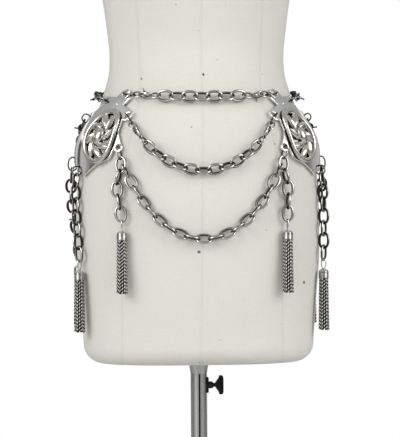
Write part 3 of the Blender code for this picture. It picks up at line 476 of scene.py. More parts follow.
def linen(name):
    """Ivory linen: a plain weave that follows the surface, slubs, seams and small marks."""
    cloth = Finish(name, Roughness=0.92, Sheen_Weight=0.08, Sheen_Roughness=0.6)
    spot, x, y, z = cloth.place()
    flat, along, up, _ = cloth.place("UV")
    weave = (along * (math.tau / THREAD)).sine() * (up * (math.tau / THREAD)).sine()
    slubs = cloth.stretched_noise(flat, (1800, 45, 1)) + cloth.stretched_noise(flat, (45, 1800, 1))
    slubs = (slubs - 1.0).within(0.05, 0.30)
    colour = cloth.mix(cloth.noise(spot, 9.0, 3.0), LINEN_DARK, LINEN_PALE)
    colour = cloth.mix(slubs * 0.30, colour, SLUB_TONE)
    colour = cloth.mix((weave * 0.5 + 0.5) * 0.10, colour, WEAVE_TONE)
    grain = cloth.stretched_noise(flat, (620, 620, 1)).within(0.42, 0.72)
    colour = cloth.mix(grain * 0.34, colour, GRAIN_TONE)
    front_seams, all_seams = seam_distances(x, y, z)
    line = 1 - all_seams.within(0.0002, 0.0010)
    crease = 1 - all_seams.within(0.0004, 0.0060)
    dots = (z / STITCH).fraction() < 0.40
    stitches = (1 - abs(front_seams - STITCH_ASIDE).within(0.0003, 0.0008)) * dots
    colour = cloth.mix(line * 0.16, colour, SEAM_TONE)
    colour = cloth.mix(stitches * 0.22, colour, SEAM_TONE)
    front = y < 0
    for mark in MARKS:
        aside = (x - mark.x) / mark.half_width
        above = (z - mark.height) / mark.half_height
        spotted = 1 - (aside * aside + above * above).within(0.45, 1.25)
        colour = cloth.mix(spotted * front * mark.strength, colour, mark.colour)
    cloth.set(Base_Color=colour)
    relief = weave * WEAVE_RISE + slubs * SLUB_RISE
    cloth.bump(relief - crease * CREASE_DEPTH - line * SEAM_DEPTH - stitches * STITCH_DEPTH)
    return cloth.material


def seam_distances(x, y, z):
    """How far a place is from the nearest stitched seam in front, and from any seam."""
    centre = abs(x - ((z - CENTRE_HEIGHT) * CENTRE_DRIFT).lowest(CENTRE_SHIFT))
    hips = (HIP_TOP - z).within(0, HIP_TOP - HIP_LOW)
    run = (z - SEAM_WAIST).highest(0) * SEAM_DRIFT + hips * HIP_SPREAD
    front_seams = centre.lowest(abs(abs(x) - (run + SEAM_X)))
    side = abs(y - SIDE_SEAM_Y) + (abs(x) < SIDE_SEAM_X)
    return front_seams, front_seams.lowest(side)


def silver(name, bright, dark, smooth, worn):
    """Silver plate: bright where it is rubbed, dark where its vertex attribute says, which holds
    tarnish in hollows and painted shade.
    """
    metal = Finish(name, Metallic=1.0)
    spot, *_ = metal.place()
    tarnish = metal.node("Attribute", {"attribute_name": "tarnish"}, output="Fac")
    mottle = metal.noise(spot, 420.0, 3.0, 0.6)
    depth = (tarnish * (mottle * 0.5 + 0.75)).within(0.18, 0.95)
    scratches = metal.stretched_noise(spot, (900, 900, 140))
    metal.set(Base_Color=metal.mix(depth, bright, dark))
    metal.set(Roughness=depth * (worn - smooth) + scratches * 0.10 + (smooth - 0.05))
    metal.bump(mottle * 0.00003 + scratches * 0.00002, 0.5)
    return metal.material


def steel(name):
    """A drawn tube: fine lines along it, and a little grime."""
    metal = Finish(name, Metallic=1.0)
    spot, *_ = metal.place()
    lines = metal.stretched_noise(spot, (2400, 2400, 12))
    grime = metal.noise(spot, 60.0, 4.0).within(0.45, 0.75)
    metal.set(Base_Color=metal.mix(grime * 0.35, (0.46, 0.47, 0.46), (0.24, 0.24, 0.23)))
    metal.set(Roughness=lines * 0.12 + grime * 0.12 + 0.22)
    metal.bump(lines * 0.00002, 0.6)
    return metal.material


def enamel(name, colour, roughness, grain):
    """Paint with a fine pebbled skin, a little paler where dust clings."""
    paint = Finish(name, Coat_Weight=0.05, Coat_Roughness=0.25, Specular_IOR_Level=0.25)
    spot, *_ = paint.place()
    pebbles = paint.noise(spot, grain, 3.0)
    dust = paint.noise(spot, 25.0, 4.0).within(0.50, 0.80)
    pale = tuple(min(1, part * 3 + 0.01) for part in colour)
    paint.set(Base_Color=paint.mix(dust * 0.35, colour, pale))
    paint.set(Roughness=dust * 0.15 + roughness)
    paint.bump(pebbles * 0.00012, 0.6)
    return paint.material


def timber(name):
    """Turned wood with rings of grain and a wax finish."""
    wood = Finish(name, Coat_Weight=0.3, Coat_Roughness=0.2)
    spot, x, _, _ = wood.place()
    wander = wood.stretched_noise(spot, (18, 18, 3), 3.0)
    rings = ((x * 900 + wander * 16).sine() * 0.5 + 0.5) ** 1.6
    pores = wood.stretched_noise(spot, (900, 900, 60)).within(0.55, 0.75)
    colour = wood.mix(rings, (0.36, 0.20, 0.09), (0.20, 0.10, 0.045))
    wood.set(Base_Color=wood.mix(pores * 0.5, colour, (0.10, 0.05, 0.02)))
    wood.set(Roughness=rings * 0.08 + 0.38)
    wood.bump(pores * -0.00008, 0.6)
    return wood.material


def plain_mesh(name, bm):
    """A smooth mesh from a bmesh, which is then done with."""
    mesh = bpy.data.meshes.new(name)
    bm.to_mesh(mesh)
    bm.free()
    mesh.shade_smooth()
    return mesh


def mesh_of(name, bm, sharp=40):
    """A mesh whose faces point outwards, with creases where they meet at more than an angle."""
    bmesh.ops.recalc_face_normals(bm, faces=bm.faces)
    if bm.calc_volume(signed=True) < 0:
        bmesh.ops.reverse_faces(bm, faces=bm.faces)
    mesh = plain_mesh(name, bm)
    mesh.set_sharp_from_angle(angle=math.radians(sharp))
    return mesh


def add_piece(name, mesh, finish, nodes=(), body="form"):
    """A finished piece: it rides on its body and stands for its CAD nodes."""
    piece = bpy.data.objects.new(name, mesh)
    bpy.context.scene.collection.objects.link(piece)
    mesh.materials.append(finish)
    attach(piece, body)
    if nodes:
        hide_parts(*nodes)
    return piece


def joined(first, *others):
    """One bmesh of several closed shells."""
    for other in others:
        loose = bpy.data.meshes.new("loose")
        other.to_mesh(loose)
        other.free()
        first.from_mesh(loose)
        bpy.data.meshes.remove(loose)
    return first


def turned(profile, sides):
    """A bmesh turned about Z, from a profile of radius and height, outer side first."""
    bm = bmesh.new()
    points = [bm.verts.new((radius, 0, height)) for radius, height in profile]
    edges = [bm.edges.new((a, b)) for a, b in zip(points, points[1:])]
    if profile[0][0] > 0 and profile[-1][0] > 0:
        edges.append(bm.edges.new((points[-1], points[0])))
    bmesh.ops.spin(
        bm, geom=points + edges, axis=(0, 0, 1), cent=(0, 0, 0),
        angle=math.tau, steps=sides, use_merge=True,
    )
    bmesh.ops.remove_doubles(bm, verts=bm.verts, dist=MERGE)
    return bm


def ball(place, segments, rings):
    """A sphere of radius 1, placed and squeezed by a matrix."""
    bm = bmesh.new()
    bmesh.ops.create_uvsphere(bm, u_segments=segments, v_segments=rings, radius=1, matrix=place)
    return bm


def rod(place, low_radius, high_radius, length, segments):
    """A round rod along its own Z, placed by its middle."""
    bm = bmesh.new()
    bmesh.ops.create_cone(
        bm, cap_ends=True, segments=segments, radius1=low_radius, radius2=high_radius,
        depth=length, matrix=place,
    )
    return bm


def tube_ring(wire_radius, sides, ring_radius, rise, steps):
    """A ring of round wire about Z."""
    bm = bmesh.new()
    bmesh.ops.create_circle(bm, segments=sides, radius=wire_radius)
    bmesh.ops.rotate(bm, verts=bm.verts, matrix=Matrix.Rotation(math.pi / 2, 3, "X"))
    bmesh.ops.translate(bm, verts=bm.verts, vec=(ring_radius, 0, rise))
    bmesh.ops.spin(
        bm, geom=bm.verts[:] + bm.edges[:], axis=(0, 0, 1), cent=(0, 0, 0),
        angle=math.tau, steps=steps, use_merge=True,
    )
    return bm


def rounded(corner_radius, corner_height, radius, start, end, steps=6):
    """Points of a rounded corner in a turned profile, angles from the outward direction."""
    points = []
    for i in range(steps + 1):
        turn = math.radians(start + (end - start) * i / steps)
        across = corner_radius + radius * math.cos(turn)
        points.append((across, corner_height + radius * math.sin(turn)))
    return points


def cover_rows():
    """Rows of the cover from the bore's end round the hem and up to the neck."""
    rows = [(BORE_TOP, "axis", 0), (BORE_TOP, "bore", 0), (TORSO_BOTTOM, "bore", 0)]
    for i in range(HEM_ROWS):
        turn = math.pi / 2 * i / HEM_ROWS
        rise = HEM_RADIUS * (1 - math.cos(turn))
        rows.append((TORSO_BOTTOM + rise, "cloth", HEM_RADIUS * (1 - math.sin(turn))))
    low = TORSO_BOTTOM + HEM_RADIUS
    count = round((TORSO_TOP - low) / BODY_ROW)
    rows += [(low + (TORSO_TOP - low) * i / count, "cloth", 0) for i in range(count + 1)]
    rows.append((TORSO_TOP, "axis", 0))
    return rows


def cover_point(angle, height, kind, inset):
    if kind == "axis":
        return Vector((0, 0, height))
    turn = math.radians(angle)
    if kind == "bore":
        return Vector((TORSO_BORE * math.sin(turn), -TORSO_BORE * math.cos(turn), height))
    point = torso_point(angle, height)
    return point - Vector((point.x, point.y, 0)).normalized() * inset


def make_cover(finish):
    """The form's linen cover: a grid wrapped round, with its weave laid out by arc and height."""
    rows = cover_rows()
    bm = bmesh.new()
    bmesh.ops.create_grid(
        bm, x_segments=COVER_COLUMNS, y_segments=len(rows) - 1, size=0.5, calc_uvs=True,
    )
    places = {}
    for vert in bm.verts:
        column = round((vert.co.x + 0.5) * COVER_COLUMNS)
        row = round((vert.co.y + 0.5) * (len(rows) - 1))
        places[vert] = (column, row)
    points, arcs = {}, {}
    half = COVER_COLUMNS // 2
    for row, (height, kind, inset) in enumerate(rows):
        for column in range(COVER_COLUMNS + 1):
            angle = 360 * (column - half) / COVER_COLUMNS
            points[column, row] = cover_point(angle, height, kind, inset)
        arcs[half, row] = 0.0
        for way in (1, -1):
            for column in range(half + way, half + way * (half + 1), way):
                step = (points[column, row] - points[column - way, row]).length
                arcs[column, row] = arcs[column - way, row] + way * step
    layout = bm.loops.layers.uv.verify()
    for face in bm.faces:
        for loop in face.loops:
            column, row = places[loop.vert]
            height, _, inset = rows[row]
            loop[layout].uv = (arcs[column, row], height - inset)
    for vert in bm.verts:
        vert.co = points[places[vert]]
    bmesh.ops.remove_doubles(bm, verts=bm.verts, dist=MERGE)
    mesh = mesh_of("torso_cover", bm, 60)
    return add_piece("torso_cover", mesh, finish, ["torso"])


def make_base(paint):
    """A round cast foot with a rounded rim, a low crown and a hub that holds the pole."""
    foot = rounded(BASE_RADIUS - FOOT_ROUND, FOOT_ROUND, FOOT_ROUND, -90, 0)
    rim = rounded(BASE_RADIUS - RIM_ROUND, BASE_RIM - RIM_ROUND, RIM_ROUND, 0, 75)
    hub_edge = rounded(HUB_RADIUS - HUB_ROUND, HUB_TOP - HUB_ROUND, HUB_ROUND, 0, 90)
    mesh = mesh_of("cast_base", turned([
        (0, POLE_SEAT), (HUB_BORE, POLE_SEAT), (HUB_BORE, HUB_TOP), *reversed(hub_edge),
        (HUB_RADIUS + 0.0005, BASE_CROWN + 0.018), (HUB_RADIUS + 0.002, BASE_CROWN + 0.009),
        (HUB_RADIUS + 0.007, BASE_CROWN + 0.003), (BASE_RADIUS * 0.3, BASE_CROWN - 0.0002),
        (BASE_RADIUS * 0.55, BASE_CROWN - 0.002), (BASE_RADIUS * 0.8, BASE_CROWN - 0.0048),
        *reversed(rim), *reversed(foot), (0, 0),
    ], 96))
    add_piece("cast_base", mesh, paint, ["base"], "stand")


def make_pole(metal):
    mesh = mesh_of("stand_tube", turned([
        (0, POLE_TOP), (POLE_RADIUS - EDGE, POLE_TOP), (POLE_RADIUS, POLE_TOP - EDGE),
        (POLE_RADIUS, POLE_SEAT + GAP), (0, POLE_SEAT + GAP),
    ], 48))
    add_piece("stand_tube", mesh, metal, ["pole"], "stand")


def split_sleeve():
    """The sleeve below its flange, with a saw cut down the front so that the clamp can close."""
    bm = bmesh.new()
    wall = [
        (SLEEVE_BORE, SLOT_TOP), (SLEEVE_RADIUS, SLOT_TOP), (SLEEVE_RADIUS, SLEEVE_BOTTOM + EDGE),
        (SLEEVE_RADIUS - EDGE, SLEEVE_BOTTOM), (SLEEVE_BORE, SLEEVE_BOTTOM),
    ]
    face = bm.faces.new([bm.verts.new((radius, 0, height)) for radius, height in wall])
    half_cut = math.asin(SLOT_WIDTH / 2 / SLEEVE_RADIUS)
    start = Matrix.Rotation(half_cut - math.pi / 2, 3, "Z")
    bmesh.ops.rotate(bm, verts=bm.verts, matrix=start)
    bmesh.ops.spin(
        bm, geom=[face], axis=(0, 0, 1), cent=(0, 0, 0),
        angle=math.tau - 2 * half_cut, steps=SLEEVE_STEPS,
    )
    bmesh.ops.recalc_face_normals(bm, faces=bm.faces)
    return bm


def make_collar(metal, paint):
    """The flanged sleeve, a black sheet inside it as painted shade in the slot, and the saddle and
    boss that take the knob.
    """
    top = TORSO_BOTTOM - GAP
    flange = turned([
        (SLEEVE_BORE, top), (FLANGE_RADIUS - EDGE, top), (FLANGE_RADIUS, top - EDGE),
        (SLEEVE_RADIUS + 0.001, top - FLANGE_TAPER * 0.6),
        (SLEEVE_RADIUS, SLOT_TOP), (SLEEVE_BORE, SLOT_TOP),
    ], SLEEVE_STEPS)
    mesh = mesh_of("clamp_sleeve", joined(flange, split_sleeve()))
    add_piece("clamp_sleeve", mesh, metal, ["collar"], "collar")
    # Painted shade: a black sheet round the pole inside the sleeve, so that the slot reads dark.
    slot_shade = turned([
        (SHADE_LINER_RADIUS, SLOT_TOP), (SHADE_LINER_RADIUS, SLEEVE_BOTTOM + EDGE),
        (SHADE_LINER_BORE, SLEEVE_BOTTOM + EDGE), (SHADE_LINER_BORE, SLOT_TOP),
    ], SLEEVE_STEPS)
    add_piece("clamp_slot_shade", mesh_of("clamp_slot_shade", slot_shade), paint, (), "collar")
    hole = KNOB_THREAD + GAP
    boss = turned([
        (hole, BOSS_END), (BOSS_RADIUS - EDGE, BOSS_END), (BOSS_RADIUS, BOSS_END - EDGE),
        (BOSS_RADIUS, BOSS_START), (hole, BOSS_START),
    ], 32)
    lay_across(boss)
    saddle = bmesh.new()
    size = (SADDLE_END - BOSS_START, 2 * SADDLE_HALF_WIDTH, 2 * SADDLE_HALF_HEIGHT)
    bmesh.ops.create_cube(saddle, size=1, matrix=Matrix.Diagonal((*size, 1)))
    bmesh.ops.translate(
        saddle, verts=saddle.verts, vec=((SADDLE_END + BOSS_START) / 2, 0, KNOB_HEIGHT),
    )
    broken_edges(saddle, saddle.edges[:], SADDLE_EDGE)
    mesh = mesh_of("clamp_saddle", joined(boss, saddle), 60)
    add_piece("clamp_saddle", mesh, paint, (), "collar")


def lay_across(bm):
    """Turns a bmesh from the Z axis to the knob's axis, which points to +X."""
    place = Matrix.Translation((0, 0, KNOB_HEIGHT)) @ Matrix.Rotation(math.pi / 2, 4, "Y")
    bmesh.ops.transform(bm, matrix=place, verts=bm.verts)


def broken_edges(bm, edges, offset, clamp=False):
    bmesh.ops.bevel(
        bm, geom=edges, offset=offset, segments=3, profile=0.5,
        affect="EDGES", material=-1, clamp_overlap=clamp,
    )


def make_knob(paint):
    """A threaded stem with a waisted fan of two wings."""
    stem = turned([
        (0, WING_START + 0.002), (KNOB_THREAD, WING_START + 0.002),
        (KNOB_THREAD, POLE_RADIUS + 2 * GAP), (0, POLE_RADIUS + 2 * GAP),
    ], 24)
    lay_across(stem)
    start = BOSS_END + GAP
    upper = [
        (start, 0.0040), (start + 0.0012, 0.0036), (start + 0.0025, 0.0019),
        (start + 0.0045, 0.0032), (WING_START - 0.0015, 0.0062), (WING_START + 0.0008, 0.0090),
        (WING_START + 0.0014, WING_HALF_SPAN - 0.0030),
        (WING_START + 0.0022, WING_HALF_SPAN - 0.0006), (WING_START + 0.0042, WING_HALF_SPAN),
        (WING_END - 0.0012, WING_HALF_SPAN - 0.0008), (WING_END - 0.0002, WING_HALF_SPAN - 0.0030),
        (WING_END, 0.0060), (WING_END, 0.0015),
    ]
    outline = upper + [(x, -z) for x, z in reversed(upper)]
    wings = bmesh.new()
    front = -WING_THICKNESS / 2
    face = wings.faces.new([wings.verts.new((x, front, KNOB_HEIGHT + z)) for x, z in outline])
    far = bmesh.ops.extrude_face_region(wings, geom=[face], use_keep_orig=True)
    moved = [g for g in far["geom"] if isinstance(g, bmesh.types.BMVert)]
    bmesh.ops.translate(wings, verts=moved, vec=(0, WING_THICKNESS, 0))
    rims = [e for e in wings.edges if abs(e.verts[0].co.y - e.verts[1].co.y) < MERGE]
    broken_edges(wings, rims, WING_EDGE)
    mesh = mesh_of("wing_knob", joined(stem, wings), 50)
    add_piece("wing_knob", mesh, paint, ["clamp_knob"], "knob")


def make_armholes(paint, metal):
    """The oval covers of the armholes, each with a screw in its middle."""
    deep = ARM_PLATE_THICKNESS
    for side, name in SIDES:
        plate = turned([
            (0, deep * 0.5), (0.90, deep * 0.5), (0.955, deep * 0.42), (0.985, deep * 0.24),
            (1.0, 0.0), (1.0, -deep * 0.5), (0, -deep * 0.5),
        ], 72)
        screw = turned([(0, 0.0012), (0.0022, 0.0010), (0.0036, 0.0), (0, 0.0)], 24)
        for bm, scale, lift in (
            (plate, (ARM_PLATE_HALF_HEIGHT, ARM_PLATE_HALF_WIDTH, 1), deep / 2),
            (screw, (1, 1, 1), deep),
        ):
            bmesh.ops.scale(bm, verts=bm.verts, vec=scale)
            place = Matrix.Translation((side * (ARMHOLE_X + GAP + lift), 0, ARM_PLATE_HEIGHT))
            place = place @ Matrix.Rotation(side * math.pi / 2, 4, "Y")
            bmesh.ops.transform(bm, matrix=place, verts=bm.verts)
        mesh = mesh_of(f"armhole_cover_{name}", plate, 30)
        add_piece(f"armhole_cover_{name}", mesh, paint, [f"arm_plate_{name}"])
        mesh = mesh_of(f"armhole_screw_{name}", screw, 30)
        add_piece(f"armhole_screw_{name}", mesh, metal)


def make_finial(wood):
    """The turned wooden cap of the neck, with a ball on it."""
    low = TORSO_TOP + GAP
    step = low + NECK_CAP_THICKNESS
    neck = SECTIONS[-1].front
    centre = step + FINIAL_RADIUS * 0.85
    profile = [(0, centre + FINIAL_RADIUS)]
    for i in range(1, 17):
        turn = math.radians(9 * i)
        profile.append((FINIAL_RADIUS * math.sin(turn), centre + FINIAL_RADIUS * math.cos(turn)))
    profile += [
        (0.0088, step + 0.0008), (0.0125, step), (neck * 0.80, step - 0.0006),
        *reversed(rounded(neck * 0.90, step - 0.0040, 0.0034, 0, 80)),
        (neck * 0.97, low + 0.0040), (neck * 0.97, low + 0.001), (neck * 0.95, low), (0, low),
    ]
    mesh = mesh_of("neck_finial", turned(profile, 72), 50)
    add_piece("neck_finial", mesh, wood, ["neck_cap"])


def plate_outline():
    """The plate's edge, laid out flat: an arc round each arm's hole and the corners between."""
    outline = []
    for name, arm in ARMS.items():
        for turn in LOBE_TURNS:
            heading = math.radians(arm.heading + turn)
            arc = arm.arc + LOBE_RADIUS * math.cos(heading)
            outline.append((arc, arm.height + LOBE_RADIUS * math.sin(heading)))
        outline += NOTCHES[name]
    return outline


def lay_on_torso(bm):
    """Bends a flat piece of arc, height and lift onto the +X side of the torso."""
    for vert in bm.verts:
        arc, height, lift = vert.co
        vert.co = on_torso(angle_after(height, 90, -arc), height, lift)


def add_loop(bm, points, lift):
    verts = [bm.verts.new((arc, height, lift)) for arc, height in points]
    return [bm.edges.new((a, b)) for a, b in zip(verts, verts[1:] + verts[:1])]


def cut_grid(bm, step):
    """Cuts a flat-laid piece across both ways at even steps."""
    for axis in (0, 1):
        low = min(v.co[axis] for v in bm.verts)
        high = max(v.co[axis] for v in bm.verts)
        for i in range(1, round((high - low) / step)):
            place, normal = Vector(), Vector()
            place[axis] = low + i * step
            normal[axis] = 1
            geometry = bm.verts[:] + bm.edges[:] + bm.faces[:]
            bmesh.ops.bisect_plane(bm, geom=geometry, dist=1e-5, plane_co=place, plane_no=normal)


def plate_bmesh():
    """Sheet metal with its edges broken, cut to its outline and bent to the hip."""
    bm = bmesh.new()
    edges = add_loop(bm, plate_outline(), PLATE_LIFT)
    for arm in ARMS.values():
        ring = []
        for i in range(HOLE_SIDES):
            turn = math.tau * i / HOLE_SIDES
            arc = arm.arc + HOLE_RADIUS * math.cos(turn)
            ring.append((arc, arm.height + HOLE_RADIUS * math.sin(turn)))
        edges += add_loop(bm, ring, PLATE_LIFT)
    bmesh.ops.triangle_fill(bm, edges=edges, use_beauty=True)
    upper = bmesh.ops.extrude_face_region(bm, geom=bm.faces[:], use_keep_orig=True)
    raised = {g for g in upper["geom"] if isinstance(g, bmesh.types.BMVert)}
    bmesh.ops.translate(bm, verts=list(raised), vec=(0, 0, PLATE_THICKNESS))
    bmesh.ops.recalc_face_normals(bm, faces=bm.faces)
    brim = []
    for edge in bm.edges:
        steep = sorted(abs(face.normal.z) for face in edge.link_faces)
        if raised.issuperset(edge.verts) and steep[0] < 0.1 and steep[-1] > 0.9:
            brim.append(edge)
    broken_edges(bm, brim, PLATE_EDGE, clamp=True)
    cut_grid(bm, PLATE_GRID)
    bmesh.ops.triangulate(bm, faces=[f for f in bm.faces if len(f.verts) > 4])
    lay_on_torso(bm)
    return bm


def both_sides(name, make, finish, sharp, node=None):
    """A piece for the +X side and its mirror image for the -X side."""
    right = make()
    mesh = mesh_of(f"{name}_right", right, sharp)
    left = bmesh.new()
    left.from_mesh(mesh)
    bmesh.ops.scale(left, verts=left.verts, vec=(-1, 1, 1))
    bmesh.ops.reverse_faces(left, faces=left.faces)
    for side, made in (("right", mesh), ("left", mesh_of(f"{name}_left", left, sharp))):
        nodes = [f"{node}_{side}"] if node else ()
        add_piece(f"{name}_{side}", made, finish, nodes)


def tarnish_low(bm, low, high):
    """Darkens a flat-laid piece towards its foot."""
    layer = bm.verts.layers.float.new("tarnish")
    for vert in bm.verts:
        vert[layer] = 1 - smooth_step((vert.co.z - low) / (high - low))


def ornament_bmesh():
    """An oval rope rim, a ring of leaning petals, and a domed boss in the middle."""
    across = ORNAMENT_HALF_WIDTH - RIM_RADIUS
    taller = ORNAMENT_HALF_HEIGHT / ORNAMENT_HALF_WIDTH
    rim = tube_ring(RIM_RADIUS, 14, across, RIM_RADIUS * 0.6, 96)
    bmesh.ops.scale(rim, verts=rim.verts, vec=(1, taller, 1))
    petals = []
    for i in range(PETALS):
        turn = math.tau * i / PETALS
        reach = PETAL_REACH * across
        centre = Vector((reach * math.cos(turn), reach * taller * math.sin(turn), 0))
        aim = math.atan2(taller * math.sin(turn), math.cos(turn)) + math.radians(PETAL_LEAN)
        width = PETAL_WIDTH * ORNAMENT_HALF_WIDTH * PETAL_REACH
        length = PETAL_LENGTH * centre.length
        petals.append(dome(centre, aim, length, width, PETAL_RISE, PETAL_KEEL))
    half = BOSS_SHARE * ORNAMENT_HALF_WIDTH
    boss = dome(Vector(), math.pi / 2, half * taller, half, BOSS_RISE, 0)
    ornament = joined(rim, *petals, boss)
    low = min(v.co.z for v in ornament.verts)
    tarnish_low(ornament, low, low + ORNAMENT_SHADE)
    foot = PLATE_LIFT + PLATE_THICKNESS + GAP
    lean = Matrix.Rotation(math.radians(ORNAMENT_TILT), 4, "Z")
    place = Matrix.Translation((ORNAMENT_ARC, ORNAMENT_HEIGHT, foot - low)) @ lean
    bmesh.ops.transform(ornament, matrix=place, verts=ornament.verts)
    lay_on_torso(ornament)
    return ornament


def dome(centre, aim, length, width, rise, keel):
    """A long dome with a flat foot, and a keel along its top where it has one."""
    bm = ball(Matrix(), 28, 16)
    for vert in bm.verts:
        height = max(vert.co.z, DOME_FOOT)
        ridge = math.exp(-((vert.co.y / KEEL_WIDTH) ** 2)) * keel
        vert.co.z = height + ridge * max(height, 0)
    place = Matrix.Translation(centre) @ Matrix.Rotation(aim, 4, "Z")
    place = place @ Matrix.Diagonal((length, width, rise, 1))
    bmesh.ops.transform(bm, matrix=place, verts=bm.verts)
    return bm


def rivet_bmesh():
    rivet = ball(Matrix.Scale(RIVET_RADIUS, 4), 16, 10)
    for vert in rivet.verts:
        vert.co.z = max(vert.co.z * RIVET_FLATNESS, 0)
    bmesh.ops.remove_doubles(rivet, verts=rivet.verts, dist=MERGE)
    foot = PLATE_LIFT + PLATE_THICKNESS + RIVET_GAP
    bmesh.ops.translate(rivet, verts=rivet.verts, vec=(RIVET_ARC, RIVET_HEIGHT, foot))
    lay_on_torso(rivet)
    return rivet


class ChainPath:
    """A smooth run along the torso, as dense points that carry the surface's normal."""

    def __init__(self, places, full_lift, ring_start=True, ring_end=True):
        self.points, self.normals, self.at = [], [], [0.0]
        rough = [torso_point(angle, height) for angle, height in places]
        lengths = [0.0]
        for a, b in zip(rough, rough[1:]):
            lengths.append(lengths[-1] + (b - a).length)
        for (angle, height), along in zip(places, lengths):
            from_ring = [along] * ring_start + [lengths[-1] - along] * ring_end
            share = smooth_step((min(from_ring, default=math.inf) - LIFT_START) / LIFT_RUN)
            lift = RING_LIFT + (full_lift - RING_LIFT) * share
            self.points.append(on_torso(angle, height, lift))
            self.normals.append(torso_normal(angle, height))
        for a, b in zip(self.points, self.points[1:]):
            self.at.append(self.at[-1] + (b - a).length)

    @property
    def length(self):
        return self.at[-1]

    def point(self, distance):
        distance = min(max(distance, 0.0), self.length)
        i = next(k for k in range(1, len(self.at)) if self.at[k] >= distance)
        share = (distance - self.at[i - 1]) / (self.at[i] - self.at[i - 1])
        normal = self.normals[i - 1].lerp(self.normals[i], share).normalized()
        return self.points[i - 1].lerp(self.points[i], share), normal

    def frame(self, distance, half, turn):
        """Where a link lies: X along the chain, Z out of the link's plane."""
        centre, normal = self.point(distance)
        along = self.point(distance + half)[0] - self.point(distance - half)[0]
        along.normalize()
        normal = (normal - along * normal.dot(along)).normalized()
        across = normal.cross(along)
        rolled = Matrix.Rotation(turn, 3, along)
        place = Matrix((along, rolled @ across, rolled @ normal)).transposed().to_4x4()
        place.translation = centre
        return place


def swag_places(end_angle, end_height, centre, middle, steepness, samples=120):
    """A hanging curve along the torso, from one side to its mirror place on the other."""
    reach = arc_between(end_height, centre, end_angle)
    if end_angle < centre:
        reach = -reach
    places = []
    for i in range(samples + 1):
        t = 1 - 2 * i / samples
        rise = (math.cosh(steepness * t) - 1) / (math.cosh(steepness) - 1)
        height = middle + (end_height - middle) * rise
        places.append((angle_after(height, centre, reach * t), height))
    return places


def ring_path(half_length, half_width, squareness, turn):
    """A point of an oval, and the direction out of it."""
    power = 2 / squareness
    sine, cosine = math.sin(turn), math.cos(turn)
    spot = Vector((
        half_length * math.copysign(abs(cosine) ** power, cosine),
        half_width * math.copysign(abs(sine) ** power, sine), 0,
    ))
    out = Vector((
        math.copysign(abs(cosine) ** (2 - power), cosine) / half_length,
        math.copysign(abs(sine) ** (2 - power), sine) / half_width, 0,
    ))
    return spot, out.normalized()


def oval_wire(half_length, half_width, wire, squareness=2.3, sides=10, steps=28, swell=0.0):
    """Round wire bent into an oval ring, with tarnish on its inner side."""
    bm = tube_ring(wire / 2, sides, 1, 0, steps)
    layer = bm.verts.layers.float.new("tarnish")
    inner_width = half_width - swell * wire / 2
    for vert in bm.verts:
        offset = math.hypot(vert.co.x, vert.co.y) - 1
        turn = math.atan2(vert.co.y, vert.co.x)
        spot, out = ring_path(half_length, inner_width, squareness, turn)
        inward = -offset / (wire / 2)
        vert[layer] = min(max(INNER_SHADE + INNER_SHADE_RUN * inward, 0.0), 1.0)
        broad = 1 + swell * math.sin(turn) ** 2
        vert.co = spot + out * offset * broad + Vector((0, 0, vert.co.z))
    return bm


def link_bmesh(element):
    half_length = element.reach + element.wire / 2
    swell = LINK_SWELL if element is LINK else 0.0
    return oval_wire(half_length, (element.width - element.wire) / 2, element.wire, swell=swell)


def clasp_bmesh():
    """A lobster clasp: its bow runs into a thick body, with a swivelling eye and a lever."""
    end = CLASP.reach + CLASP.wire
    half = (end + CLASP_BOW_END) / 2
    bow = oval_wire(half - BOW_WIRE / 2, (CLASP.width - BOW_WIRE) / 2, BOW_WIRE, 2.2)
    for vert in bow.verts:
        taper = smooth_step((vert.co.x / half + 0.3) / 1.3)
        vert.co.y *= 1 - BOW_NARROWING * taper
        vert.co.z *= 1 + BOW_THICKENING * taper
        vert.co.x -= end - half
    place = Matrix.Translation(CLASP_BODY_PLACE) @ Matrix.Rotation(CLASP_BODY_LEAN, 4, "Z")
    body = ball(place @ Matrix.Diagonal((*CLASP_BODY, 1)), 20, 12)
    pin = rod(Matrix.Translation(PIN_PLACE), PIN_RADIUS, PIN_RADIUS, PIN_LENGTH, 12)
    place = Matrix.Translation((CLASP_BOW_END, 0, 0)) @ Matrix.Rotation(math.pi / 2, 4, "Y")
    barrel = rod(place, *BARREL_RADII, BARREL_LENGTH, 18)
    half = CLASP_EYE - EYE_WIRE / 2
    eye = oval_wire(half, half, EYE_WIRE, 2.0, 8, 20)
    bmesh.ops.translate(eye, verts=eye.verts, vec=(end - CLASP_EYE - EYE_PLAY, 0, 0))
    place = Matrix.Translation(LEVER_PLACE) @ Matrix.Rotation(LEVER_LEAN, 4, "Z")
    lever = rod(place @ Matrix.Rotation(-math.pi / 2, 4, "X"), *LEVER_RADII, LEVER_LENGTH, 12)
    thumb = ball(Matrix.Translation(THUMB_PLACE) @ Matrix.Scale(THUMB_RADIUS, 4), 12, 8)
    for shell in (body, pin, barrel, lever, thumb):
        shell.verts.layers.float.new("tarnish")
    return joined(bow, body, pin, barrel, eye, lever, thumb)


def stamp(bm, template, place):
    """Adds a copy of a mesh at a place."""
    before = len(bm.verts)
    bm.from_mesh(template)
    bm.verts.ensure_lookup_table()
    bmesh.ops.transform(bm, matrix=place, verts=bm.verts[before:])


def rub_crowns_shade_sides(bm):
    """Painted shade on the sides turned to the body, and rubbed bright on the crowns turned
    outward.
    """
    bm.normal_update()
    layer = bm.verts.layers.float["tarnish"]
    for vert in bm.verts:
        outward = Vector((vert.co.x, vert.co.y * BODY_FLATNESS, 0)).normalized()
        rubbed = smooth_step((vert.normal.dot(outward) - RUB_LOW) / (RUB_HIGH - RUB_LOW))
        vert[layer] = max(vert[layer], BODY_SHADE * (1 - rubbed))


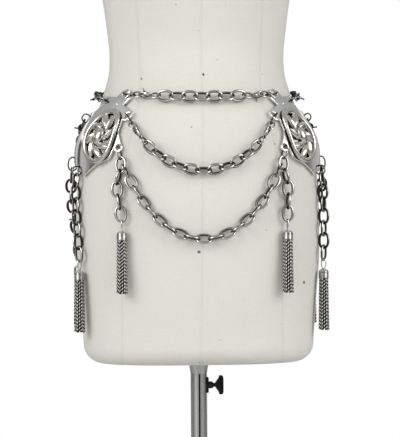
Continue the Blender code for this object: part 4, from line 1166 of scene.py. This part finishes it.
def chain_frames(path, elements, slack, rolls, first=None):
    """The place of each element along a path, each turned a quarter from the last."""
    places = []
    distance = elements[0].reach if first is None else first
    for i, element in enumerate(elements):
        if i:
            distance += elements[i - 1].reach + element.reach - slack
        quarter = 90 if i % 2 == 0 else 0
        turn = math.radians(quarter + rolls[i])
        places.append(path.frame(distance, element.reach, turn))
    return places


def make_chain(name, path, elements, slack, rolls, templates, finish, first=None):
    bm = bmesh.new()
    bm.verts.layers.float.new("tarnish")
    places = chain_frames(path, elements, slack, rolls, first)
    middle = (len(elements) - 1) / 2
    for i, (element, place) in enumerate(zip(elements, places)):
        if element is CLASP and i > middle:
            place = place @ Matrix.Rotation(math.pi, 4, "Y")
        elif element is CLASP and name in LEVER_DOWN:
            place = place @ Matrix.Rotation(math.pi, 4, "X")
        stamp(bm, templates[element], place)
    rub_crowns_shade_sides(bm)
    mesh = plain_mesh(f"{name}_links", bm)
    add_piece(f"{name}_links", mesh, finish, [name])
    return places[-1] @ Vector((elements[-1].reach, 0, 0)), places[-1].col[1].to_3d()


def make_swag(name, path, swag, first, templates, finish):
    elements = swag.ends + (LINK,) * swag.links + swag.ends[::-1]
    room = path.length - 2 * first
    full = sum(a.reach + b.reach for a, b in zip(elements, elements[1:]))
    slack = (full - room) / (len(elements) - 1)
    last = len(elements) - 1
    rolls = [min(ROLL_STEP * min(i, last - i), swag.rolls[i % 2]) for i in range(last + 1)]
    make_chain(name, path, elements, slack, rolls, templates, finish, first)


def make_swags(places_found, templates, finish):
    for name, swag in SWAGS.items():
        arm = ARMS[swag.arm]
        angle = angle_after(arm.height, 90, -arm.arc)
        places = swag_places(angle, arm.height, swag.centre, swag.middle, swag.steepness)
        first = swag.ends[0].reach
        make_swag(name, ChainPath(places, SWAG_LIFT), swag, first, templates, finish)
    for name, swag in HOOKED_SWAGS.items():
        places = places_found[swag.drop]
        held = drop_link_distance(DROPS[swag.drop].ring, swag.link)
        angle, height = place_along(places, held)
        toward = 1 if swag.centre > angle else -1
        start = angle_after(height, angle, toward * HOOK_SHIFT)
        places = swag_places(start, height, swag.centre, swag.middle, swag.steepness)
        path = ChainPath(places, SWAG_LIFT, ring_start=False, ring_end=False)
        first = CLASP.reach + CLASP.wire / 2
        make_swag(name, path, swag, first, templates, finish)


def drop_link_distance(ring, index):
    """How far down a drop the middle of a link is, the ring being link 0."""
    if not index:
        return ring.reach
    first = 2 * ring.reach + LINK.reach - PLAY
    return first + (index - 1) * (2 * LINK.reach - PLAY)


def drop_places(drop, side, samples=60):
    """Angle and height down a drop; the angle eases towards the tassel's."""
    arm = ARMS[drop.arm]
    start = angle_after(arm.height, 90, -arm.arc)
    end = drop.right_end if side > 0 else drop.left_end
    pulled = arm.height - drop_link_distance(drop.ring, drop.held)
    places = []
    for i in range(samples + 1):
        height = arm.height + (drop.foot - DROP_SPARE - arm.height) * i / samples
        ease = smooth_step((drop.sway_height - height) / (drop.sway_height - drop.foot))
        aside = drop.pull * math.exp(-(((height - pulled) / PULL_REACH) ** 2))
        places.append((side * (start + (end - start) * ease + aside), height))
    return places


def place_along(places, distance):
    """The angle and height at a distance down a list of places."""
    path = ChainPath(places, DROP_LIFT, ring_end=False)
    i = next(k for k in range(1, len(path.at)) if path.at[k] >= distance)
    share = (distance - path.at[i - 1]) / (path.at[i] - path.at[i - 1])
    (angle_a, height_a), (angle_b, height_b) = places[i - 1], places[i]
    return angle_a + (angle_b - angle_a) * share, height_a + (height_b - height_a) * share


def make_drops(templates, finish, cap_finish, strand_finish):
    """The drops with their tassels. Gives the places down each drop on the +X side."""
    found = {}
    for name, drop in DROPS.items():
        for side, side_name in SIDES:
            places = drop_places(drop, side)
            path = ChainPath(places, DROP_LIFT, ring_end=False)
            elements = (drop.ring,) + (LINK,) * drop.links
            rolls = [0] * (drop.held + 1)
            while len(rolls) < len(elements):
                rolls.append(min(rolls[-1] + DROP_ROLL_STEP, drop.roll))
            rolls = [side * roll for roll in rolls]
            piece = f"{name}_{side_name}"
            foot, bar = make_chain(piece, path, elements, PLAY, rolls, templates, finish)
            make_tassel(f"{name}_tassel_{side_name}", foot, bar, cap_finish, strand_finish)
            if side > 0:
                found[name] = places
    return found


def strand_spots():
    """The strands stand in rings of six on a triangular grid."""
    spots = []
    for q in range(-STRAND_RINGS, STRAND_RINGS + 1):
        for r in range(-STRAND_RINGS, STRAND_RINGS + 1):
            if abs(q + r) <= STRAND_RINGS:
                spots.append((STRAND_PITCH * (q + r / 2), STRAND_PITCH * r * math.sqrt(3) / 2))
    return spots


def cap_bmesh(top, foot):
    """A turned cap with a domed crown and a bead round its foot, dark inside."""
    crown = [(0, top + CAP_TIP)]
    for i in range(1, 9):
        turn = math.pi / 2 * i / 8
        crown.append((CAP_RADIUS * math.sin(turn), top - CAP_DOME * (1 - math.cos(turn))))
    bead, lip = CAP_RADIUS + 0.0003, foot + 0.0008
    cap = turned(crown + [
        (CAP_RADIUS, foot + 0.0016), (bead, foot + 0.0012), (bead, foot + 0.0004),
        (CAP_RADIUS - 0.0001, foot), (CAP_RADIUS - 0.0007, foot), (CAP_RADIUS - 0.0009, lip),
        (0, lip),
    ], 40)
    layer = cap.verts.layers.float.new("tarnish")
    for vert in cap.verts:
        inside = math.hypot(vert.co.x, vert.co.y) < CAP_RADIUS - 0.0008
        wall = smooth_step((top - 0.0020 - vert.co.z) / 0.0016)
        hollow = inside and vert.co.z < foot + 0.002
        vert[layer] = HOLLOW_SHADE if hollow else CROWN_SHADE + WALL_SHADE * wall
    return cap


def make_tassel(name, foot, bar, cap_finish, strand_finish):
    """An eye that hangs in the last link, a turned cap, and fine twisted chains."""
    eye_height = foot.z + PLAY - EYE.reach
    cap_top = eye_height - EYE.reach - EYE.wire / 2
    cap_foot = cap_top - CAP_HEIGHT
    down, flat_bar = Vector((0, 0, -1)), Vector((bar.x, bar.y, 0)).normalized()
    stand = Matrix((down, flat_bar.cross(down), flat_bar)).transposed().to_4x4()
    stand.translation = (0, 0, eye_height)
    eye = link_bmesh(EYE)
    bmesh.ops.transform(eye, matrix=stand, verts=eye.verts)
    head = joined(cap_bmesh(cap_top, cap_foot), eye)
    bmesh.ops.translate(head, verts=head.verts, vec=(foot.x, foot.y, 0))
    mesh = mesh_of(f"{name}_cap", head, 50)
    add_piece(f"{name}_cap", mesh, cap_finish, [name])
    strands = bunch_bmesh(Vector((foot.x, foot.y, cap_foot + STRAND_ROOT)))
    mesh = plain_mesh(f"{name}_strands", strands)
    mesh.set_sharp_from_angle(angle=math.radians(50))
    add_piece(f"{name}_strands", mesh, strand_finish)


def bunch_bmesh(top):
    """The strands of a tassel, which spread a little downwards; the inner ones are painted dark,
    as the shade they hang in.
    """
    strands = bmesh.new()
    strands.verts.layers.float.new("tarnish")
    inner = STRAND_PITCH * (STRAND_RINGS - 0.5)
    for i, (x, y) in enumerate(strand_spots()):
        shorter = STRAND_UNEVEN * (0.5 + 0.5 * math.sin(STRAND_WAVE * i))
        length = STRAND_LENGTH + STRAND_ROOT - shorter
        template = twisted_strand(length, STRAND_PHASE * x / STRAND_PITCH)
        # Painted shade: the inner strands, seen only through gaps, are made wholly dark.
        if math.hypot(x, y) < inner:
            for spot in template.attributes["tarnish"].data:
                spot.value = 1.0
        spread = (1 - STRAND_SPREAD) / length
        sway = Matrix.Shear("XY", 4, (x * spread, y * spread))
        stamp(strands, template, Matrix.Translation(top + Vector((x, y, 0))) @ sway)
        bpy.data.meshes.remove(template)
    return strands


def twisted_strand(length, phase):
    """A fine curb chain, as a flat bar twisted along its length, hanging from its top."""
    place = Matrix.Translation((0, 0, -length / 2))
    bm = rod(place, STRAND_RADIUS, STRAND_RADIUS, length, 8)
    upright = [e for e in bm.edges if abs(e.verts[0].co.z - e.verts[1].co.z) > length / 2]
    bmesh.ops.subdivide_edges(bm, edges=upright, cuts=STRAND_STEPS, use_grid_fill=True)
    layer = bm.verts.layers.float.new("tarnish")
    for vert in bm.verts:
        aside = abs(vert.co.x) / STRAND_RADIUS
        # Painted shade on the bar's sides stands for the dark gaps between the fine links.
        vert[layer] = smooth_step((aside - STRAND_BRIGHT) / STRAND_SHADE_RUN)
        turn = Matrix.Rotation(math.tau * vert.co.z / STRAND_TURN + phase, 3, "Z")
        vert.co = turn @ Vector((vert.co.x, vert.co.y * STRAND_FLAT, vert.co.z))
    return plain_mesh("strand", bm)


def make_belt():
    antique = silver("antiqued_silver", (0.62, 0.61, 0.57), (0.040, 0.036, 0.030), 0.15, 0.42)
    polished = silver("polished_silver", (0.78, 0.78, 0.77), (0.07, 0.065, 0.060), 0.09, 0.40)
    strand_metal = silver("strand_silver", (0.86, 0.85, 0.82), (0.020, 0.018, 0.015), 0.36, 0.50)
    both_sides("hip_sheet", plate_bmesh, polished, 35, "hip_plate")
    both_sides("petal_oval", ornament_bmesh, antique, 50, "ornament")
    both_sides("plate_rivet", rivet_bmesh, polished, 50)
    templates = {
        element: mesh_of("wire", link_bmesh(element), 60)
        for element in (LONG_RING, SHORT_RING, SMALL, LINK)
    }
    templates[CLASP] = mesh_of("clasp", clasp_bmesh(), 60)
    found = make_drops(templates, antique, polished, strand_metal)
    make_swags(found, templates, antique)


def make_form():
    drawn_steel = steel("drawn_steel")
    black_paint = enamel("black_enamel", (0.003, 0.003, 0.003), 0.40, 600.0)
    iron_paint = enamel("painted_iron", (0.020, 0.020, 0.021), 0.45, 260.0)
    cream_paint = enamel("cream_paint", (0.62, 0.59, 0.52), 0.45, 900.0)
    make_cover(linen("ivory_linen"))
    make_base(iron_paint)
    make_pole(drawn_steel)
    make_collar(drawn_steel, black_paint)
    make_knob(black_paint)
    make_armholes(cream_paint, drawn_steel)
    make_finial(timber("waxed_wood"))


def make_studio():
    """A pale floor, a white surround with darker bands for the metal, and soft lights."""
    floor = bmesh.new()
    bmesh.ops.create_circle(floor, cap_ends=True, segments=96, radius=FLOOR_RADIUS)
    mesh = plain_mesh("floor", floor)
    ground = bpy.data.objects.new("floor", mesh)
    bpy.context.scene.collection.objects.link(ground)
    pale = Finish("pale_floor", Base_Color=FLOOR_TONE, Roughness=0.8)
    mesh.materials.append(pale.material)
    make_surround()
    for lamp in LAMPS:
        data = bpy.data.lights.new(lamp.name, "AREA")
        data.energy, data.size = lamp.energy, lamp.size
        light = bpy.data.objects.new(lamp.name, data)
        bpy.context.scene.collection.objects.link(light)
        light.location = lamp.place
        light.visible_glossy = lamp.place[1] < 0  # no glints on the rims from behind
        aim = Vector(LAMP_AIM) - light.location
        light.rotation_euler = aim.to_track_quat("-Z", "Y").to_euler()


def make_surround():
    """White to the camera, an even front light for cloth, and light and dark for the metal."""
    world = bpy.data.worlds.new("studio")
    bpy.context.scene.world = world
    world.use_nodes = True
    nodes = Nodes(world.node_tree)
    _, x, y, z = nodes.place("Generated")

    def bands(place, stops):
        tinted = [(at, (level, level, level * 0.985)) for at, level in stops]
        share = nodes.node("MapRange", Value=place, From_Min=-1.0, From_Max=1.0)
        return nodes.node("ValToRGB", {"stops": tinted}, Fac=share)

    from_front = nodes.node("MapRange", Value=y, From_Min=-SIDE_BLEND, From_Max=SIDE_BLEND)
    level = nodes.mix(from_front, bands(x, FRONT_BANDS), bands(x, BACK_BANDS))
    shine = nodes.mix(bands(z, LEVEL_SHARE), bands(z, HEIGHT_BANDS), level)
    behind = nodes.node("MapRange", Value=y, From_Min=BEHIND[0], From_Max=BEHIND[1])
    glow = nodes.mix(behind, FRONT_GLOW, BACK_GLOW)
    colour = nodes.mix(nodes.node("LightPath", output="Is Glossy Ray"), glow, shine)
    colour = nodes.mix(nodes.node("LightPath", output="Is Camera Ray"), colour, WHITE)
    nodes.feed(nodes.tree.nodes["Background"].inputs["Color"], colour)


def make_camera():
    turn = math.radians(VIEW_TURN)
    data = bpy.data.cameras.new("camera")
    camera = bpy.data.objects.new("camera", data)
    bpy.context.scene.collection.objects.link(camera)
    camera.location = (
        -VIEW_DISTANCE * math.sin(turn), -VIEW_DISTANCE * math.cos(turn), VIEW_HEIGHT,
    )
    level = Matrix.Rotation(-turn, 3, "Z") @ Matrix.Rotation(math.pi / 2, 3, "X")
    lean = Matrix.Rotation(math.radians(-VIEW_LEAN), 3, "Z")
    camera.rotation_euler = (level @ lean).to_euler()
    data.sensor_fit = "HORIZONTAL"
    data.sensor_width = SENSOR
    data.lens = SENSOR * FOCAL_PIXELS / PHOTO_WIDTH
    data.shift_x = (PHOTO_WIDTH / 2 - AXIS_PIXEL) / PHOTO_WIDTH
    bpy.context.scene.camera = camera
    bpy.context.scene.view_settings.view_transform = "Standard"


make_form()
make_belt()
make_studio()
make_camera()
